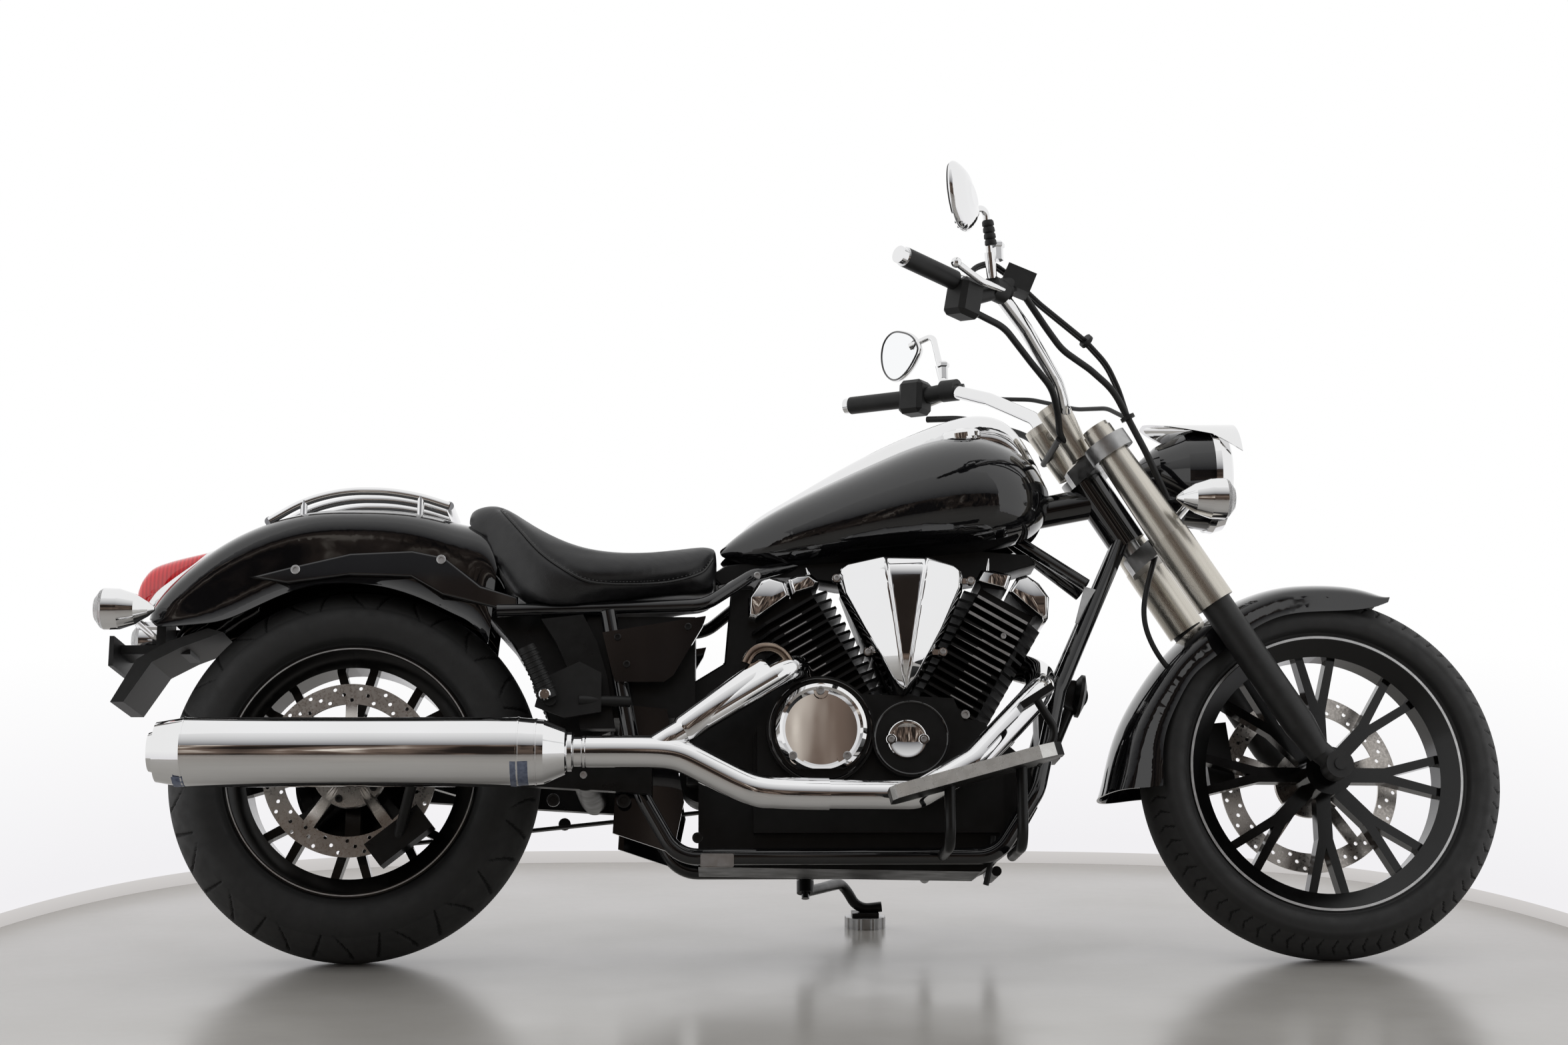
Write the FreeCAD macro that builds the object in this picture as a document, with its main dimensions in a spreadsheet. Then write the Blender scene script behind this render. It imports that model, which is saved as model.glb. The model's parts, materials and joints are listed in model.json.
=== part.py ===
import FreeCAD, Part
import math
import os
import types

import Sketcher

# Cruiser motorcycle leaning on its side stand. Each piece is drawn with the machine upright:
# X forward from the rear axle, Y to the rider's left, Z up from the ground. The last
# section turns the steering, leans the machine over and centres it on the ground.

V = FreeCAD.Vector
Rotation = FreeCAD.Rotation
Placement = FreeCAD.Placement

# The driving dimensions, in millimetres and degrees.
SIZES = [
    # stance
    ("wheelbase", 1685), ("rake_angle", 32.5), ("trail", 145), ("lean_angle", 13.3),
    ("rest_steer_angle", 3.95), ("fork_offset", 36), ("fork_spacing", 216),
    ("gap", 0.3), ("pivot_fit", 0.08), ("overrun", 20), ("wall", 3),
    # rear wheel
    ("rear_tyre_radius", 322), ("rear_tyre_width", 170), ("rear_crown_width", 152),
    ("rear_shoulder_drop", 35),
    ("rear_bead_width", 132), ("rear_seat_radius", 203), ("rear_flange_radius", 217),
    ("rear_seat_width", 116), ("rear_flange_thick", 9), ("rear_hub_radius", 44),
    ("rear_hub_width", 120), ("rear_disc_radius", 149), ("rear_disc_bore", 114),
    ("rear_disc_offset", 76), ("pulley_radius", 112), ("belt_offset", 99.5),
    ("belt_width", 22), ("belt_thick", 5), ("belt_room", 5),
    ("front_pulley_radius", 44),
    ("front_pulley_x", 606), ("front_pulley_z", 318), ("rear_axle_radius", 11),
    # front wheel
    ("front_tyre_radius", 320), ("front_tyre_width", 132), ("front_crown_width", 124),
    ("front_shoulder_drop", 33),
    ("front_bead_width", 100), ("front_seat_radius", 229), ("front_flange_radius", 243),
    ("front_seat_width", 80), ("front_flange_thick", 9), ("front_hub_radius", 42),
    ("front_hub_width", 128), ("front_disc_radius", 160), ("front_disc_bore", 126),
    ("front_disc_offset", 70), ("front_axle_radius", 10),
    # parts shared by both wheels
    ("rim_depth", 20), ("rim_well", 14), ("flange_lip", 7), ("flange_room", 1.8),
    ("bead_room", 4.2), ("disc_thick", 5), ("spoke_thick", 30),
    ("spoke_stem_width", 26), ("spoke_arm_width", 15), ("spoke_spread", 60), ("spoke_count", 8),
    ("carrier_arm_width", 20), ("carrier_arm_count", 5), ("carrier_thick", 9),
    # frame
    ("head_tube_radius", 34), ("head_tube_low", 872), ("head_tube_length", 136),
    ("stem_radius", 17), ("backbone_radius", 28), ("backbone_front_up", 970),
    ("backbone_front_ahead", -11), ("backbone_rear_x", 800), ("backbone_rear_z", 716),
    ("cradle_radius", 14), ("cradle_half_width", 126), ("cradle_height", 168),
    ("cradle_front_x", 1100), ("cradle_rear_x", 560), ("cradle_bend", 60),
    ("downtube_top_up", 882), ("downtube_top_ahead", -12), ("downtube_mid_x", 1222),
    ("downtube_mid_z", 464), ("downtube_mid_half_width", 62), ("downtube_low_x", 1172),
    ("downtube_low_z", 280), ("pivot_x", 500), ("pivot_z", 300), ("pivot_tube_radius", 18),
    ("pivot_plate_thick", 8), ("rail_radius", 11), ("rail_joint_x", 690), ("rail_joint_z", 662),
    ("rail_low_x", 606), ("rail_low_z", 600), ("rail_end_x", 250), ("rail_end_z", 590),
    # swingarm
    ("arm_inner", 146), ("arm_thick", 24), ("arm_height", 62), ("arm_tail", 46),
    ("arm_bridge_x", 408), ("arm_bridge_radius", 26), ("axle_overhang", 12),
    # engine
    ("crank_x", 938), ("crank_z", 277), ("bank_angle", 30), ("case_half_width", 108),
    ("case_low_half_width", 92), ("case_rear_x", 596), ("case_length", 586),
    ("case_base_z", 146), ("case_height", 300), ("gearbox_half_width", 84),
    ("front_mount_x", 1040), ("rear_mount_x", 640), ("mount_radius", 10),
    ("barrel_length", 104), ("barrel_width", 132), ("barrel_foot", 118), ("head_foot", 292),
    ("head_top", 392), ("fin_length", 150), ("fin_width", 212), ("fin_thick", 5),
    ("fin_pitch", 16), ("fin_count", 15), ("fin_foot", 142), ("fin_corner", 26),
    ("rocker_height", 42), ("rocker_length", 128), ("rocker_width", 196), ("rocker_taper", 20),
    ("clutch_x", 803), ("clutch_z", 377), ("clutch_ring_radius", 92), ("clutch_radius", 80),
    ("clutch_face", 190), ("clutch_ring_face", 168), ("crank_cover_x", 955),
    ("crank_cover_z", 362), ("crank_cover_radius", 66), ("crank_cover_face", 176),
    ("side_case_face", 150), ("generator_radius", 88), ("generator_face", 166),
    ("duct_length", 84), ("duct_height", 130), ("duct_z", 512), ("air_face", 214),
    ("air_back", 138), ("air_edge_radius", 15), ("air_channel_depth", 12), ("air_foot_x", 942), ("air_foot_z", 438),
    ("air_width", 218), ("air_height", 241),
    # exhaust
    ("header_radius", 23), ("muffler_radius", 57.5), ("muffler_offset", 242),
    ("muffler_z", 329), ("muffler_tail_x", -306), ("muffler_length", 690),
    ("outlet_radius", 24), ("outlet_depth", 90), ("pipe_radius", 25), ("pipe_low_z", 259),
    # tank
    ("tank_rear_x", 632), ("tank_length", 584), ("tank_base_z", 686), ("tank_height", 286),
    ("tank_half_width", 162), ("tunnel_half_width", 40), ("tunnel_room", 9),
    ("console_half_width", 52), ("console_height", 56), ("cap_radius", 36), ("cap_height", 26),
    ("cap_x", 1061), ("cap_offset", 54), ("cap_z", 918),
    # seat
    ("seat_rear_x", 192), ("seat_length", 434), ("seat_base_z", 588), ("seat_height", 208),
    ("seat_half_width", 172),
    # rear fender
    ("fender_rear_x", -362), ("fender_length", 640), ("fender_base_z", 520),
    ("fender_height", 272), ("fender_half_width", 108), ("fender_crown_drop", 34),
    ("fender_wall", 4), ("strut_height", 32), ("strut_round", 4),
    ("rack_rear_x", -157), ("rack_length", 314), ("rack_base_z", 763), ("rack_rise", 55),
    ("rack_half_width", 62), ("rack_tube_radius", 7), ("rack_bar_radius", 8),
    ("rack_post_radius", 6),
    ("tail_x", -388), ("tail_length", 178), ("tail_base_z", 600), ("tail_height", 126),
    ("tail_half_width", 46), ("tail_chrome_length", 120),
    ("rear_signal_x", -355), ("rear_signal_z", 588), ("rear_signal_offset", 150),
    ("signal_radius", 36), ("signal_length", 84), ("signal_lens", 16), ("signal_stay_radius", 8),
    ("plate_x", -412), ("plate_base_z", 500), ("plate_half_width", 95), ("plate_thick", 8),
    ("plate_height", 52), ("flap_half_width", 84), ("flap_thick", 5),
    # side covers, pegs and boards
    ("box_rear_x", 404), ("box_length", 186), ("box_base_z", 406), ("box_height", 176),
    ("band_rear_x", 326), ("band_length", 128), ("band_base_z", 385), ("band_height", 198),
    ("band_face", 130), ("cover_face", 152), ("cover_rear_x", 432), ("cover_length", 176),
    ("cover_base_z", 462), ("cover_height", 114),
    ("peg_x", 345), ("peg_z", 430), ("peg_offset", 172), ("peg_radius", 15), ("peg_length", 96),
    ("peg_plate_thick", 8),
    ("board_rear_x", 912), ("board_rear_z", 236), ("board_length", 292), ("board_slope_angle", 15.2),
    ("board_thick", 22), ("board_inner", 262), ("board_outer", 352), ("board_arm_radius", 9),
    ("pedal_x", 1152), ("pedal_z", 410), ("pedal_offset", 296), ("pedal_radius", 7),
    ("pad_length", 62), ("pad_width", 46), ("pad_thick", 12),
    # brakes
    ("caliper_length", 110), ("caliper_depth", 46), ("caliper_width", 52),
    ("rear_caliper_angle", 142),
    # fork
    ("yoke_low", 836), ("yoke_high", 1024), ("yoke_thick", 30), ("yoke_depth", 56), ("yoke_rear", 22),
    ("cover_top", 1060), ("cover_break", 836), ("cover_low", 694), ("cover_top_radius", 27),
    ("cover_low_radius", 35), ("leg_radius", 28), ("leg_low_radius", 20), ("leg_lug_length", 46),
    ("lug_radius", 24), ("front_fender_half_width", 76), ("front_fender_radius", 346),
    ("front_fender_wall", 4), ("front_fender_crown_drop", 26),
    ("headlight_up", 898), ("headlight_ahead", 188), ("headlight_radius", 93),
    ("headlight_length", 134), ("headlight_rim", 22), ("headlight_visor", 26),
    ("front_signal_up", 833), ("front_signal_ahead", 135), ("front_signal_offset", 172),
    ("riser_radius", 29), ("riser_foot_radius", 20), ("riser_offset", 62), ("riser_ahead", 8),
    ("riser_height", 108), ("riser_cap", 14), ("bar_radius", 12.7), ("bar_bend", 46),
    ("bar_centre_up", 1119), ("bar_centre_ahead", 14), ("bar_centre_offset", 84),
    ("bar_knee_up", 1173), ("bar_knee_ahead", 26), ("bar_knee_offset", 108),
    ("bar_rise_up", 1267), ("bar_rise_ahead", 3), ("bar_rise_offset", 200),
    ("bar_turn_up", 1335), ("bar_turn_ahead", -27), ("bar_turn_offset", 276),
    ("bar_grip_up", 1376), ("bar_grip_ahead", -97), ("bar_grip_offset", 326),
    ("bar_end_up", 1436), ("bar_end_ahead", -172), ("bar_end_offset", 403),
    ("grip_radius", 17), ("grip_cap_radius", 15), ("grip_cap_length", 12),
    ("switch_drop", 26),
    ("switch_length", 52), ("switch_width", 50), ("switch_height", 66),
    ("tank_box_up", 1333), ("tank_box_ahead", 19), ("tank_box_offset", 256),
    ("tank_box_length", 52), ("tank_box_width", 44), ("tank_box_height", 38),
    ("perch_radius", 16), ("lever_radius", 6), ("lever_ball_radius", 9),
    ("lever_root_up", 1320), ("lever_root_ahead", -6), ("lever_root_offset", 268),
    ("lever_mid_up", 1346), ("lever_mid_ahead", -62), ("lever_mid_offset", 338),
    ("lever_tip_up", 1386), ("lever_tip_ahead", -96), ("lever_tip_offset", 385),
    ("mirror_base_up", 1354), ("mirror_base_ahead", -26), ("mirror_base_offset", 288),
    ("mirror_knee_up", 1456), ("mirror_knee_ahead", 22), ("mirror_knee_offset", 326),
    ("mirror_up", 1477), ("mirror_ahead", -36), ("mirror_offset", 402),
    ("mirror_width", 145), ("mirror_height", 108), ("mirror_thick", 30), ("mirror_turn_angle", 24),
    ("mirror_stem_radius", 6), ("mirror_post_radius", 9), ("mirror_post_height", 44),
    ("cable_radius", 4), ("hose_radius", 6), ("tie_radius", 13), ("tie_length", 7),
    ("cable_base_up", 880), ("cable_rise", 520), ("cable_reach", 120), ("cable_spread", 300),
    # side stand
    ("stand_pivot_x", 786), ("stand_pivot_offset", 168), ("stand_pivot_z", 160),
    ("stand_pin_radius", 7), ("stand_foot_x", 905), ("stand_foot_y", 400),
    ("stand_leg_radius", 12), ("stand_foot_length", 62), ("stand_foot_width", 44),
    ("stand_foot_thick", 8), ("stand_neck_back", 42),
    ("stand_neck_height", 62), ("puck_radius", 38), ("puck_height", 20), ("puck_notch_radius", 6),
    ("puck_notch_count", 10),
]

doc = FreeCAD.newDocument("cruiser")
sheet = doc.addObject("Spreadsheet::Sheet", "sizes")
for row, (alias, number) in enumerate(SIZES, start=1):
    sheet.set("A%d" % row, alias)
    sheet.set("B%d" % row, str(number))
    sheet.setAlias("B%d" % row, alias)
doc.recompute()


class Size:
    """A cell's number together with the expression that gives it."""

    def __init__(self, number, text):
        self.number = number
        self.text = text

    def __float__(self):
        return float(self.number)

    def joined(self, other, sign, number):
        text = other.text if isinstance(other, Size) else repr(other)
        return Size(number, "(%s %s %s)" % (self.text, sign, text))

    def __add__(self, other):
        return self.joined(other, "+", float(self) + float(other))

    def __sub__(self, other):
        return self.joined(other, "-", float(self) - float(other))

    def __mul__(self, other):
        return self.joined(other, "*", float(self) * float(other))

    def __truediv__(self, other):
        return self.joined(other, "/", float(self) / float(other))

    def __neg__(self):
        return Size(-float(self), "(-1 * %s)" % self.text)


# S holds the cells with their expressions, and N the same cells as plain numbers.
S = types.SimpleNamespace(**{a: Size(float(sheet.get(a)), "sizes." + a) for a, _ in SIZES})
N = types.SimpleNamespace(**{a: float(sheet.get(a)) for a, _ in SIZES})

PIECES = {}
RAKE = math.radians(N.rake_angle)
UP_FORK = V(-math.sin(RAKE), 0, math.cos(RAKE))
AHEAD_FORK = V(math.cos(RAKE), 0, math.sin(RAKE))
STEER_FOOT = V(N.wheelbase + N.trail, 0, 0)
X = V(1, 0, 0)
Y = V(0, 1, 0)
Z = V(0, 0, 1)


def keep(name, group, piece, local=Placement()):
    """Register a finished piece under its node's name."""
    piece.Label = name
    PIECES[name] = (piece, group, local)
    return piece


def bind(piece, prop, size):
    """Set a property and bind it to the sheet."""
    setattr(piece, prop, float(size))
    piece.setExpression(prop, size.text)


# Sketch helpers


def arc_between(start, end, radius, turn):
    """The arc of a given radius from start to end; turn 1 is anticlockwise."""
    chord = end.sub(start)
    half = chord.Length / 2
    rise = math.sqrt(radius * radius - half * half)
    side = V(-chord.y, chord.x, 0).multiply(turn * rise / chord.Length)
    centre = start.add(end).multiply(0.5).add(side)
    first, last = (start, end) if turn > 0 else (end, start)
    low = math.atan2(first.y - centre.y, first.x - centre.x)
    high = math.atan2(last.y - centre.y, last.x - centre.x)
    if high < low:
        high += 2 * math.pi
    return Part.ArcOfCircle(Part.Circle(centre, Z, radius), low, high)


def outline(body, role, corners):
    """A closed sketch whose corners are bound to the sheet.

    A corner is (across, up), or (across, up, radius, turn) when an arc leaves it.
    """
    sketch = body.newObject("Sketcher::SketchObject", body.Name + "_outline")
    plane = [f for f in body.Origin.OriginFeatures if f.Role == role][0]
    sketch.AttachmentSupport = [(plane, "")]
    sketch.MapMode = "FlatFace"
    count = len(corners)
    points = [V(float(c[0]), float(c[1]), 0) for c in corners]
    ends = []
    for index, corner in enumerate(corners):
        here, there = points[index], points[(index + 1) % count]
        if len(corner) == 4:
            sketch.addGeometry(arc_between(here, there, float(corner[2]), corner[3]), False)
            ends.append((1, 2) if corner[3] > 0 else (2, 1))
        else:
            sketch.addGeometry(Part.LineSegment(here, there), False)
            ends.append((1, 2))
    for index in range(count):
        after = (index + 1) % count
        sketch.addConstraint(
            Sketcher.Constraint("Coincident", index, ends[index][1], after, ends[after][0])
        )
    for index, corner in enumerate(corners):
        for kind, size in (("DistanceX", corner[0]), ("DistanceY", corner[1])):
            rule = Sketcher.Constraint(kind, -1, 1, index, ends[index][0], float(size))
            number = sketch.addConstraint(rule)
            if isinstance(size, Size):
                sketch.setExpression("Constraints[%d]" % number, size.text)
        if len(corner) == 4:
            number = sketch.addConstraint(Sketcher.Constraint("Radius", index, float(corner[2])))
            sketch.setExpression("Constraints[%d]" % number, corner[2].text)
    return sketch


def revolve(body, sketch, axis="H_Axis"):
    turned = body.newObject("PartDesign::Revolution", body.Name + "_turned")
    turned.Profile = sketch
    turned.ReferenceAxis = (sketch, [axis])
    turned.Angle = 360
    return turned


def pad(body, sketch, length, side="Symmetric"):
    padded = body.newObject("PartDesign::Pad", body.Name + "_pad")
    padded.Profile = sketch
    bind(padded, "Length", length)
    padded.SideType = side
    return padded


def around(body, feature, role, count):
    pattern = body.newObject("PartDesign::PolarPattern", body.Name + "_pattern")
    pattern.Originals = [feature]
    axis = [f for f in body.Origin.OriginFeatures if f.Role == role][0]
    pattern.Axis = (axis, [""])
    pattern.Angle = 360
    pattern.Occurrences = int(float(count))
    pattern.setExpression("Occurrences", count.text)
    body.Tip = pattern
    return pattern


def new_body(name):
    return doc.addObject("PartDesign::Body", name)


# Shape helpers


def feature(name, group, shape, local=Placement()):
    piece = doc.addObject("Part::Feature", name)
    piece.Shape = shape
    return keep(name, group, piece, local)


def rod(start, end, radius):
    """A round bar between two points."""
    run = end.sub(start)
    return Part.makeCylinder(radius, run.Length, start, run)


def cone(start, end, radius, end_radius):
    run = end.sub(start)
    return Part.makeCone(radius, end_radius, run.Length, start, run)


def bent_tube(points, radius, bend):
    """A round tube of straight runs joined by tangent arcs."""
    edges = []
    here = points[0]
    for before, corner, after in zip(points, points[1:], points[2:]):
        back = before.sub(corner)
        onward = after.sub(corner)
        turn = math.pi - back.getAngle(onward)
        longest = min(back.Length, onward.Length) / 2 * 0.98
        reach = min(bend * math.tan(turn / 2), longest)
        arc_radius = reach / math.tan(turn / 2)
        enter = corner.add(V(back).normalize().multiply(reach))
        leave = corner.add(V(onward).normalize().multiply(reach))
        inward = V(back).normalize().add(V(onward).normalize()).normalize()
        sag = arc_radius / math.cos(turn / 2) - arc_radius
        edges.append(Part.LineSegment(here, enter).toShape())
        edges.append(Part.Arc(enter, corner.add(inward.multiply(sag)), leave).toShape())
        here = leave
    edges.append(Part.LineSegment(here, points[-1]).toShape())
    section = Part.Wire([Part.makeCircle(radius, points[0], points[1].sub(points[0]))])
    return Part.Wire(edges).makePipeShell([section], True, True)


def slab(corners, near, far):
    """A flat plate: an outline in X and Z, drawn out from one Y to another."""
    points = [V(x, near, z) for x, z in corners]
    face = Part.Face(Part.makePolygon(points + points[:1]))
    return face.extrude(V(0, far - near, 0))


def block(centre, length, width, height):
    """A box by its centre."""
    corner = V(centre.x - length / 2, centre.y - width / 2, centre.z - height / 2)
    return Part.makeBox(length, width, height, corner)


def turned(profile, start, direction):
    """A solid of revolution: profile is (along, radius) from start."""
    points = [V(radius, 0, along) for along, radius in profile]
    face = Part.Face(Part.makePolygon(points + points[:1]))
    solid = face.revolve(V(), Z, 360)
    solid.Placement = Placement(start, Rotation(Z, direction))
    return solid


def skin(sections, ruled=False):
    """A solid through closed outlines with the same number of corners."""
    wires = [Part.makePolygon(points + points[:1]) for points in sections]
    return Part.makeLoft(wires, True, ruled)


def smooth_skin(sections):
    """A solid through smooth closed outlines."""
    wires = []
    for points in sections:
        curve = Part.BSplineCurve()
        curve.interpolate(Points=points, PeriodicFlag=True)
        wires.append(Part.Wire([curve.toShape()]))
    return Part.makeLoft(wires, True, False)


def softened(solid, radius, y):
    """Round the edges that lie in one plane across the machine."""
    edges = [e for e in solid.Edges if all(abs(v.Y - y) < N.gap for v in e.Vertexes)]
    return solid.makeFillet(radius, edges)


def fused(shapes):
    return shapes[0].multiFuse(shapes[1:]).removeSplitter()


def seated(shape, *names):
    """A shape trimmed to sit against earlier pieces, without loose slivers."""
    for name in names:
        shape = shape.cut(PIECES[name][0].Shape)
    return max(shape.Solids, key=lambda solid: solid.Volume)


def placed(shares, x_start, x_span, z_start, z_span):
    """Points given as shares of a piece's length and height."""
    return [(x_start + x * x_span, z_start + z * z_span) for x, z in shares]


def fork_point(along, ahead, across):
    """A point by its distance up the steering axis, ahead of it and to the left."""
    return STEER_FOOT.add(UP_FORK * along).add(AHEAD_FORK * ahead).add(Y * across)


def from_head(name, side=1):
    """A point by its sizes up the steering axis, ahead of it and out to one side."""
    across = side * getattr(N, name + "_offset", 0)
    return fork_point(getattr(N, name + "_up"), getattr(N, name + "_ahead"), across)


def mirrored(point, side):
    return V(point.x, point.y * side, point.z)


# Wheels. Each is drawn about its own centre with its axle along Y.


# The crown from its middle to the shoulder, then the side from there down to the bead.
CROWN_SHARES = [(0, 1), (0.38, 0.88), (0.72, 0.53), (1, 0)]
SIDE_SHARES = [(0.97, 0.72), (1, 0.42), (0.7, 0.15), (0, 0)]


def sizes_of(end):
    """The sizes of one end's wheel, without the end's name."""
    return {k[len(end):]: v for k, v in vars(S).items() if k.startswith(end)}


def tread_line(end):
    """Half of a tyre's outer profile, from the crown's middle down to the bead."""
    size = sizes_of(end)
    drop = size["shoulder_drop"]
    shoulder = size["tyre_radius"] - drop
    foot = size["flange_radius"] + S.bead_room
    crown = size["crown_width"] / 2
    bead = size["bead_width"] / 2
    bulge = size["tyre_width"] / 2 - bead
    line = [(crown * across, shoulder + drop * up) for across, up in CROWN_SHARES]
    side = [(bead + bulge * across, foot + (shoulder - foot) * up) for across, up in SIDE_SHARES]
    return line + side


def tyre(name, group, end):
    """A tyre with a rounded crown and full sides, seated between the rim's flanges."""
    size = sizes_of(end)
    inner = size["seat_width"] / 2 - S.gap
    seat = size["seat_radius"] + S.gap
    over = size["flange_radius"] + S.flange_room
    right = tread_line(end)
    left = [(-across, up) for across, up in right[1:]]
    body = new_body(name)
    sketch = outline(body, "YZ_Plane", [
        (-inner, over), (-inner, seat), (inner, seat), (inner, over), *right[::-1], *left,
    ])
    revolve(body, sketch)
    keep(name, group, body)


def wheel(name, group, end, axle_radius, pulley):
    """A cast wheel: rim, hub with its axle bore, and split spokes."""
    size = sizes_of(end)
    seat = size["seat_radius"]
    flange = size["flange_radius"]
    half = size["seat_width"] / 2
    edge = half + size["flange_thick"]
    inside = seat - S.rim_depth
    hub = size["hub_radius"]
    hub_half = size["hub_width"] / 2
    body = new_body(name)
    rim = outline(body, "YZ_Plane", [
        (-half, seat), (-half, flange), (-edge, flange), (-edge, flange - S.flange_lip),
        (-half + S.rim_well, inside), (half - S.rim_well, inside), (edge, flange - S.flange_lip),
        (edge, flange), (half, flange), (half, seat),
    ])
    revolve(body, rim)
    bore = axle_radius + S.pivot_fit
    core = outline(body, "YZ_Plane", [
        (-hub_half, bore), (hub_half, bore), (hub_half, hub), (-hub_half, hub),
    ])
    revolve(body, core)
    if pulley:
        near = S.belt_offset - S.belt_width / 2
        far = S.belt_offset + S.belt_width / 2
        rim_low = S.pulley_radius - S.rim_depth
        carrier = outline(body, "YZ_Plane", [
            (hub_half - S.spoke_thick, hub - S.wall), (far - S.wall * 2, hub - S.wall),
            (far - S.wall * 2, rim_low), (far, rim_low), (far, S.pulley_radius),
            (near, S.pulley_radius), (near, rim_low), (near + S.wall * 2, rim_low),
            (near + S.wall * 2, hub + S.wall), (hub_half - S.spoke_thick, hub + S.wall),
        ])
        revolve(body, carrier)
    stem = S.spoke_stem_width / 2
    spread = S.spoke_spread / 2
    arm = S.spoke_arm_width
    fork = hub + (inside - hub) * 0.42
    spoke = outline(body, "XZ_Plane", [
        (-stem, hub - S.wall), (stem, hub - S.wall), (stem, fork), (spread + arm / 2, inside + S.wall),
        (spread - arm / 2, inside + S.wall), (0, fork + arm), (-spread + arm / 2, inside + S.wall),
        (-spread - arm / 2, inside + S.wall), (-stem, fork),
    ])
    around(body, pad(body, spoke, S.spoke_thick), "Y_Axis", S.spoke_count)
    keep(name, group, body)


def disc(name, group, end, side):
    """A brake disc with its carrier arms, bolted to the hub's flange."""
    size = sizes_of(end)
    middle = size["disc_offset"]
    if side < 0:
        middle = -middle
    near = middle - S.disc_thick / 2
    far = middle + S.disc_thick / 2
    root = size["hub_width"] / 2 + S.gap
    hub = size["hub_radius"]
    body = new_body(name)
    band = outline(body, "YZ_Plane", [
        (near, size["disc_bore"]), (far, size["disc_bore"]),
        (far, size["disc_radius"]), (near, size["disc_radius"]),
    ])
    revolve(body, band)
    if side < 0:
        root = -root
        face = -(size["disc_offset"] + S.carrier_thick / 2)
    else:
        face = size["disc_offset"] + S.carrier_thick / 2
    ring = outline(body, "YZ_Plane", [
        (root, hub - S.rim_well), (face, hub - S.rim_well), (face, hub + S.rim_depth),
        (root, hub + S.rim_depth),
    ])
    revolve(body, ring)
    half = S.carrier_arm_width / 2
    arm = outline(body, "XZ_Plane", [
        (-half, hub + S.rim_well), (half, hub + S.rim_well), (half, size["disc_bore"] + S.wall),
        (-half, size["disc_bore"] + S.wall),
    ])
    middle_plane = pad(body, arm, S.disc_thick)
    arm.AttachmentOffset = Placement(V(0, 0, -float(middle)), Rotation())
    around(body, middle_plane, "Y_Axis", S.carrier_arm_count)
    keep(name, group, body)


def wheels():
    tyre("rear_tyre", "rear_wheel", "rear_")
    wheel("rear_wheel", "rear_wheel", "rear_", S.rear_axle_radius, True)
    disc("rear_disc", "rear_wheel", "rear_", -1)
    tyre("front_tyre", "front_wheel", "front_")
    wheel("front_wheel", "front_wheel", "front_", S.front_axle_radius, False)
    disc("front_disc", "front_wheel", "front_", 1)


# Frame and swingarm


def rail_path(side):
    """The seat rail from the backbone's end back to the fender."""
    wide = side * N.cradle_half_width
    return [
        V(N.backbone_rear_x, side * N.rail_radius, N.backbone_rear_z - N.rail_radius),
        V(N.rail_joint_x, wide * 0.7, N.rail_joint_z), V(N.rail_low_x, wide, N.rail_low_z),
        V(N.rail_end_x, wide, N.rail_end_z),
    ]


def frame():
    """Head tube, backbone, double cradle, seat rails and the stand's lug."""
    low = N.head_tube_low
    high = low + N.head_tube_length
    shapes = [rod(fork_point(low, 0, 0), fork_point(high, 0, 0), N.head_tube_radius)]
    top = from_head("backbone_front")
    bottom = V(N.backbone_rear_x, 0, N.backbone_rear_z)
    shapes.append(rod(top, bottom, N.backbone_radius))
    wide = N.cradle_half_width
    head = from_head("downtube_top")
    for side in (-1, 1):
        path = [
            head.add(Y * (side * N.stem_radius)),
            V(N.downtube_mid_x, side * N.downtube_mid_half_width, N.downtube_mid_z),
            V(N.downtube_low_x, side * wide, N.downtube_low_z),
            V(N.cradle_front_x, side * wide, N.cradle_height),
            V(N.cradle_rear_x, side * wide, N.cradle_height),
            V(N.pivot_x, side * wide, N.pivot_z - N.backbone_radius),
            V(N.pivot_x - N.cradle_bend, side * wide, N.rail_low_z - N.rail_radius),
        ]
        shapes.append(bent_tube(path, N.cradle_radius, N.cradle_bend))
        shapes.append(bent_tube(rail_path(side), N.rail_radius, N.cradle_bend))
        brace_low = V(N.downtube_mid_x + N.backbone_radius * 2, side * N.stem_radius * 2.6,
                      head.z - N.backbone_radius * 3)
        brace_high = V(N.cradle_front_x + N.backbone_radius, side * N.rail_radius,
                       top.z - N.backbone_radius * 1.8)
        shapes.append(rod(brace_low, brace_high, N.rail_radius))
        plate = placed(PIVOT_PLATE_SHARES, N.pivot_x - N.cradle_bend, N.cradle_bend * 2,
                       N.cradle_height, (N.pivot_z - N.cradle_height) * 2)
        near = side * (wide - N.pivot_plate_thick / 2)
        shapes.append(slab(plate, near, near + side * N.pivot_plate_thick))
    pivot = V(N.pivot_x, N.arm_inner - N.gap, N.pivot_z)
    shapes.append(rod(mirrored(pivot, -1), pivot, N.pivot_tube_radius))
    lug = V(N.stand_pivot_x, N.stand_pivot_offset, N.stand_pivot_z)
    axis = chassis_pose().Rotation.inverted().multVec(stand_axis())
    boss = N.stand_pin_radius
    shapes.append(rod(lug.sub(axis * boss), lug.add(axis * boss), boss * 2.2))
    shapes.append(rod(lug.add(axis * boss), V(lug.x, wide, N.cradle_height + boss * 1.4), boss * 0.7))
    shapes.append(rod(lug, lug.sub(axis * (boss * 2 + N.stand_leg_radius * 2)), boss))
    solid = fused(shapes)
    bore = rod(fork_point(low - N.overrun, 0, 0), fork_point(high + N.overrun, 0, 0),
               N.stem_radius + N.pivot_fit)
    feature("frame", "chassis", solid.cut(bore).removeSplitter())


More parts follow.
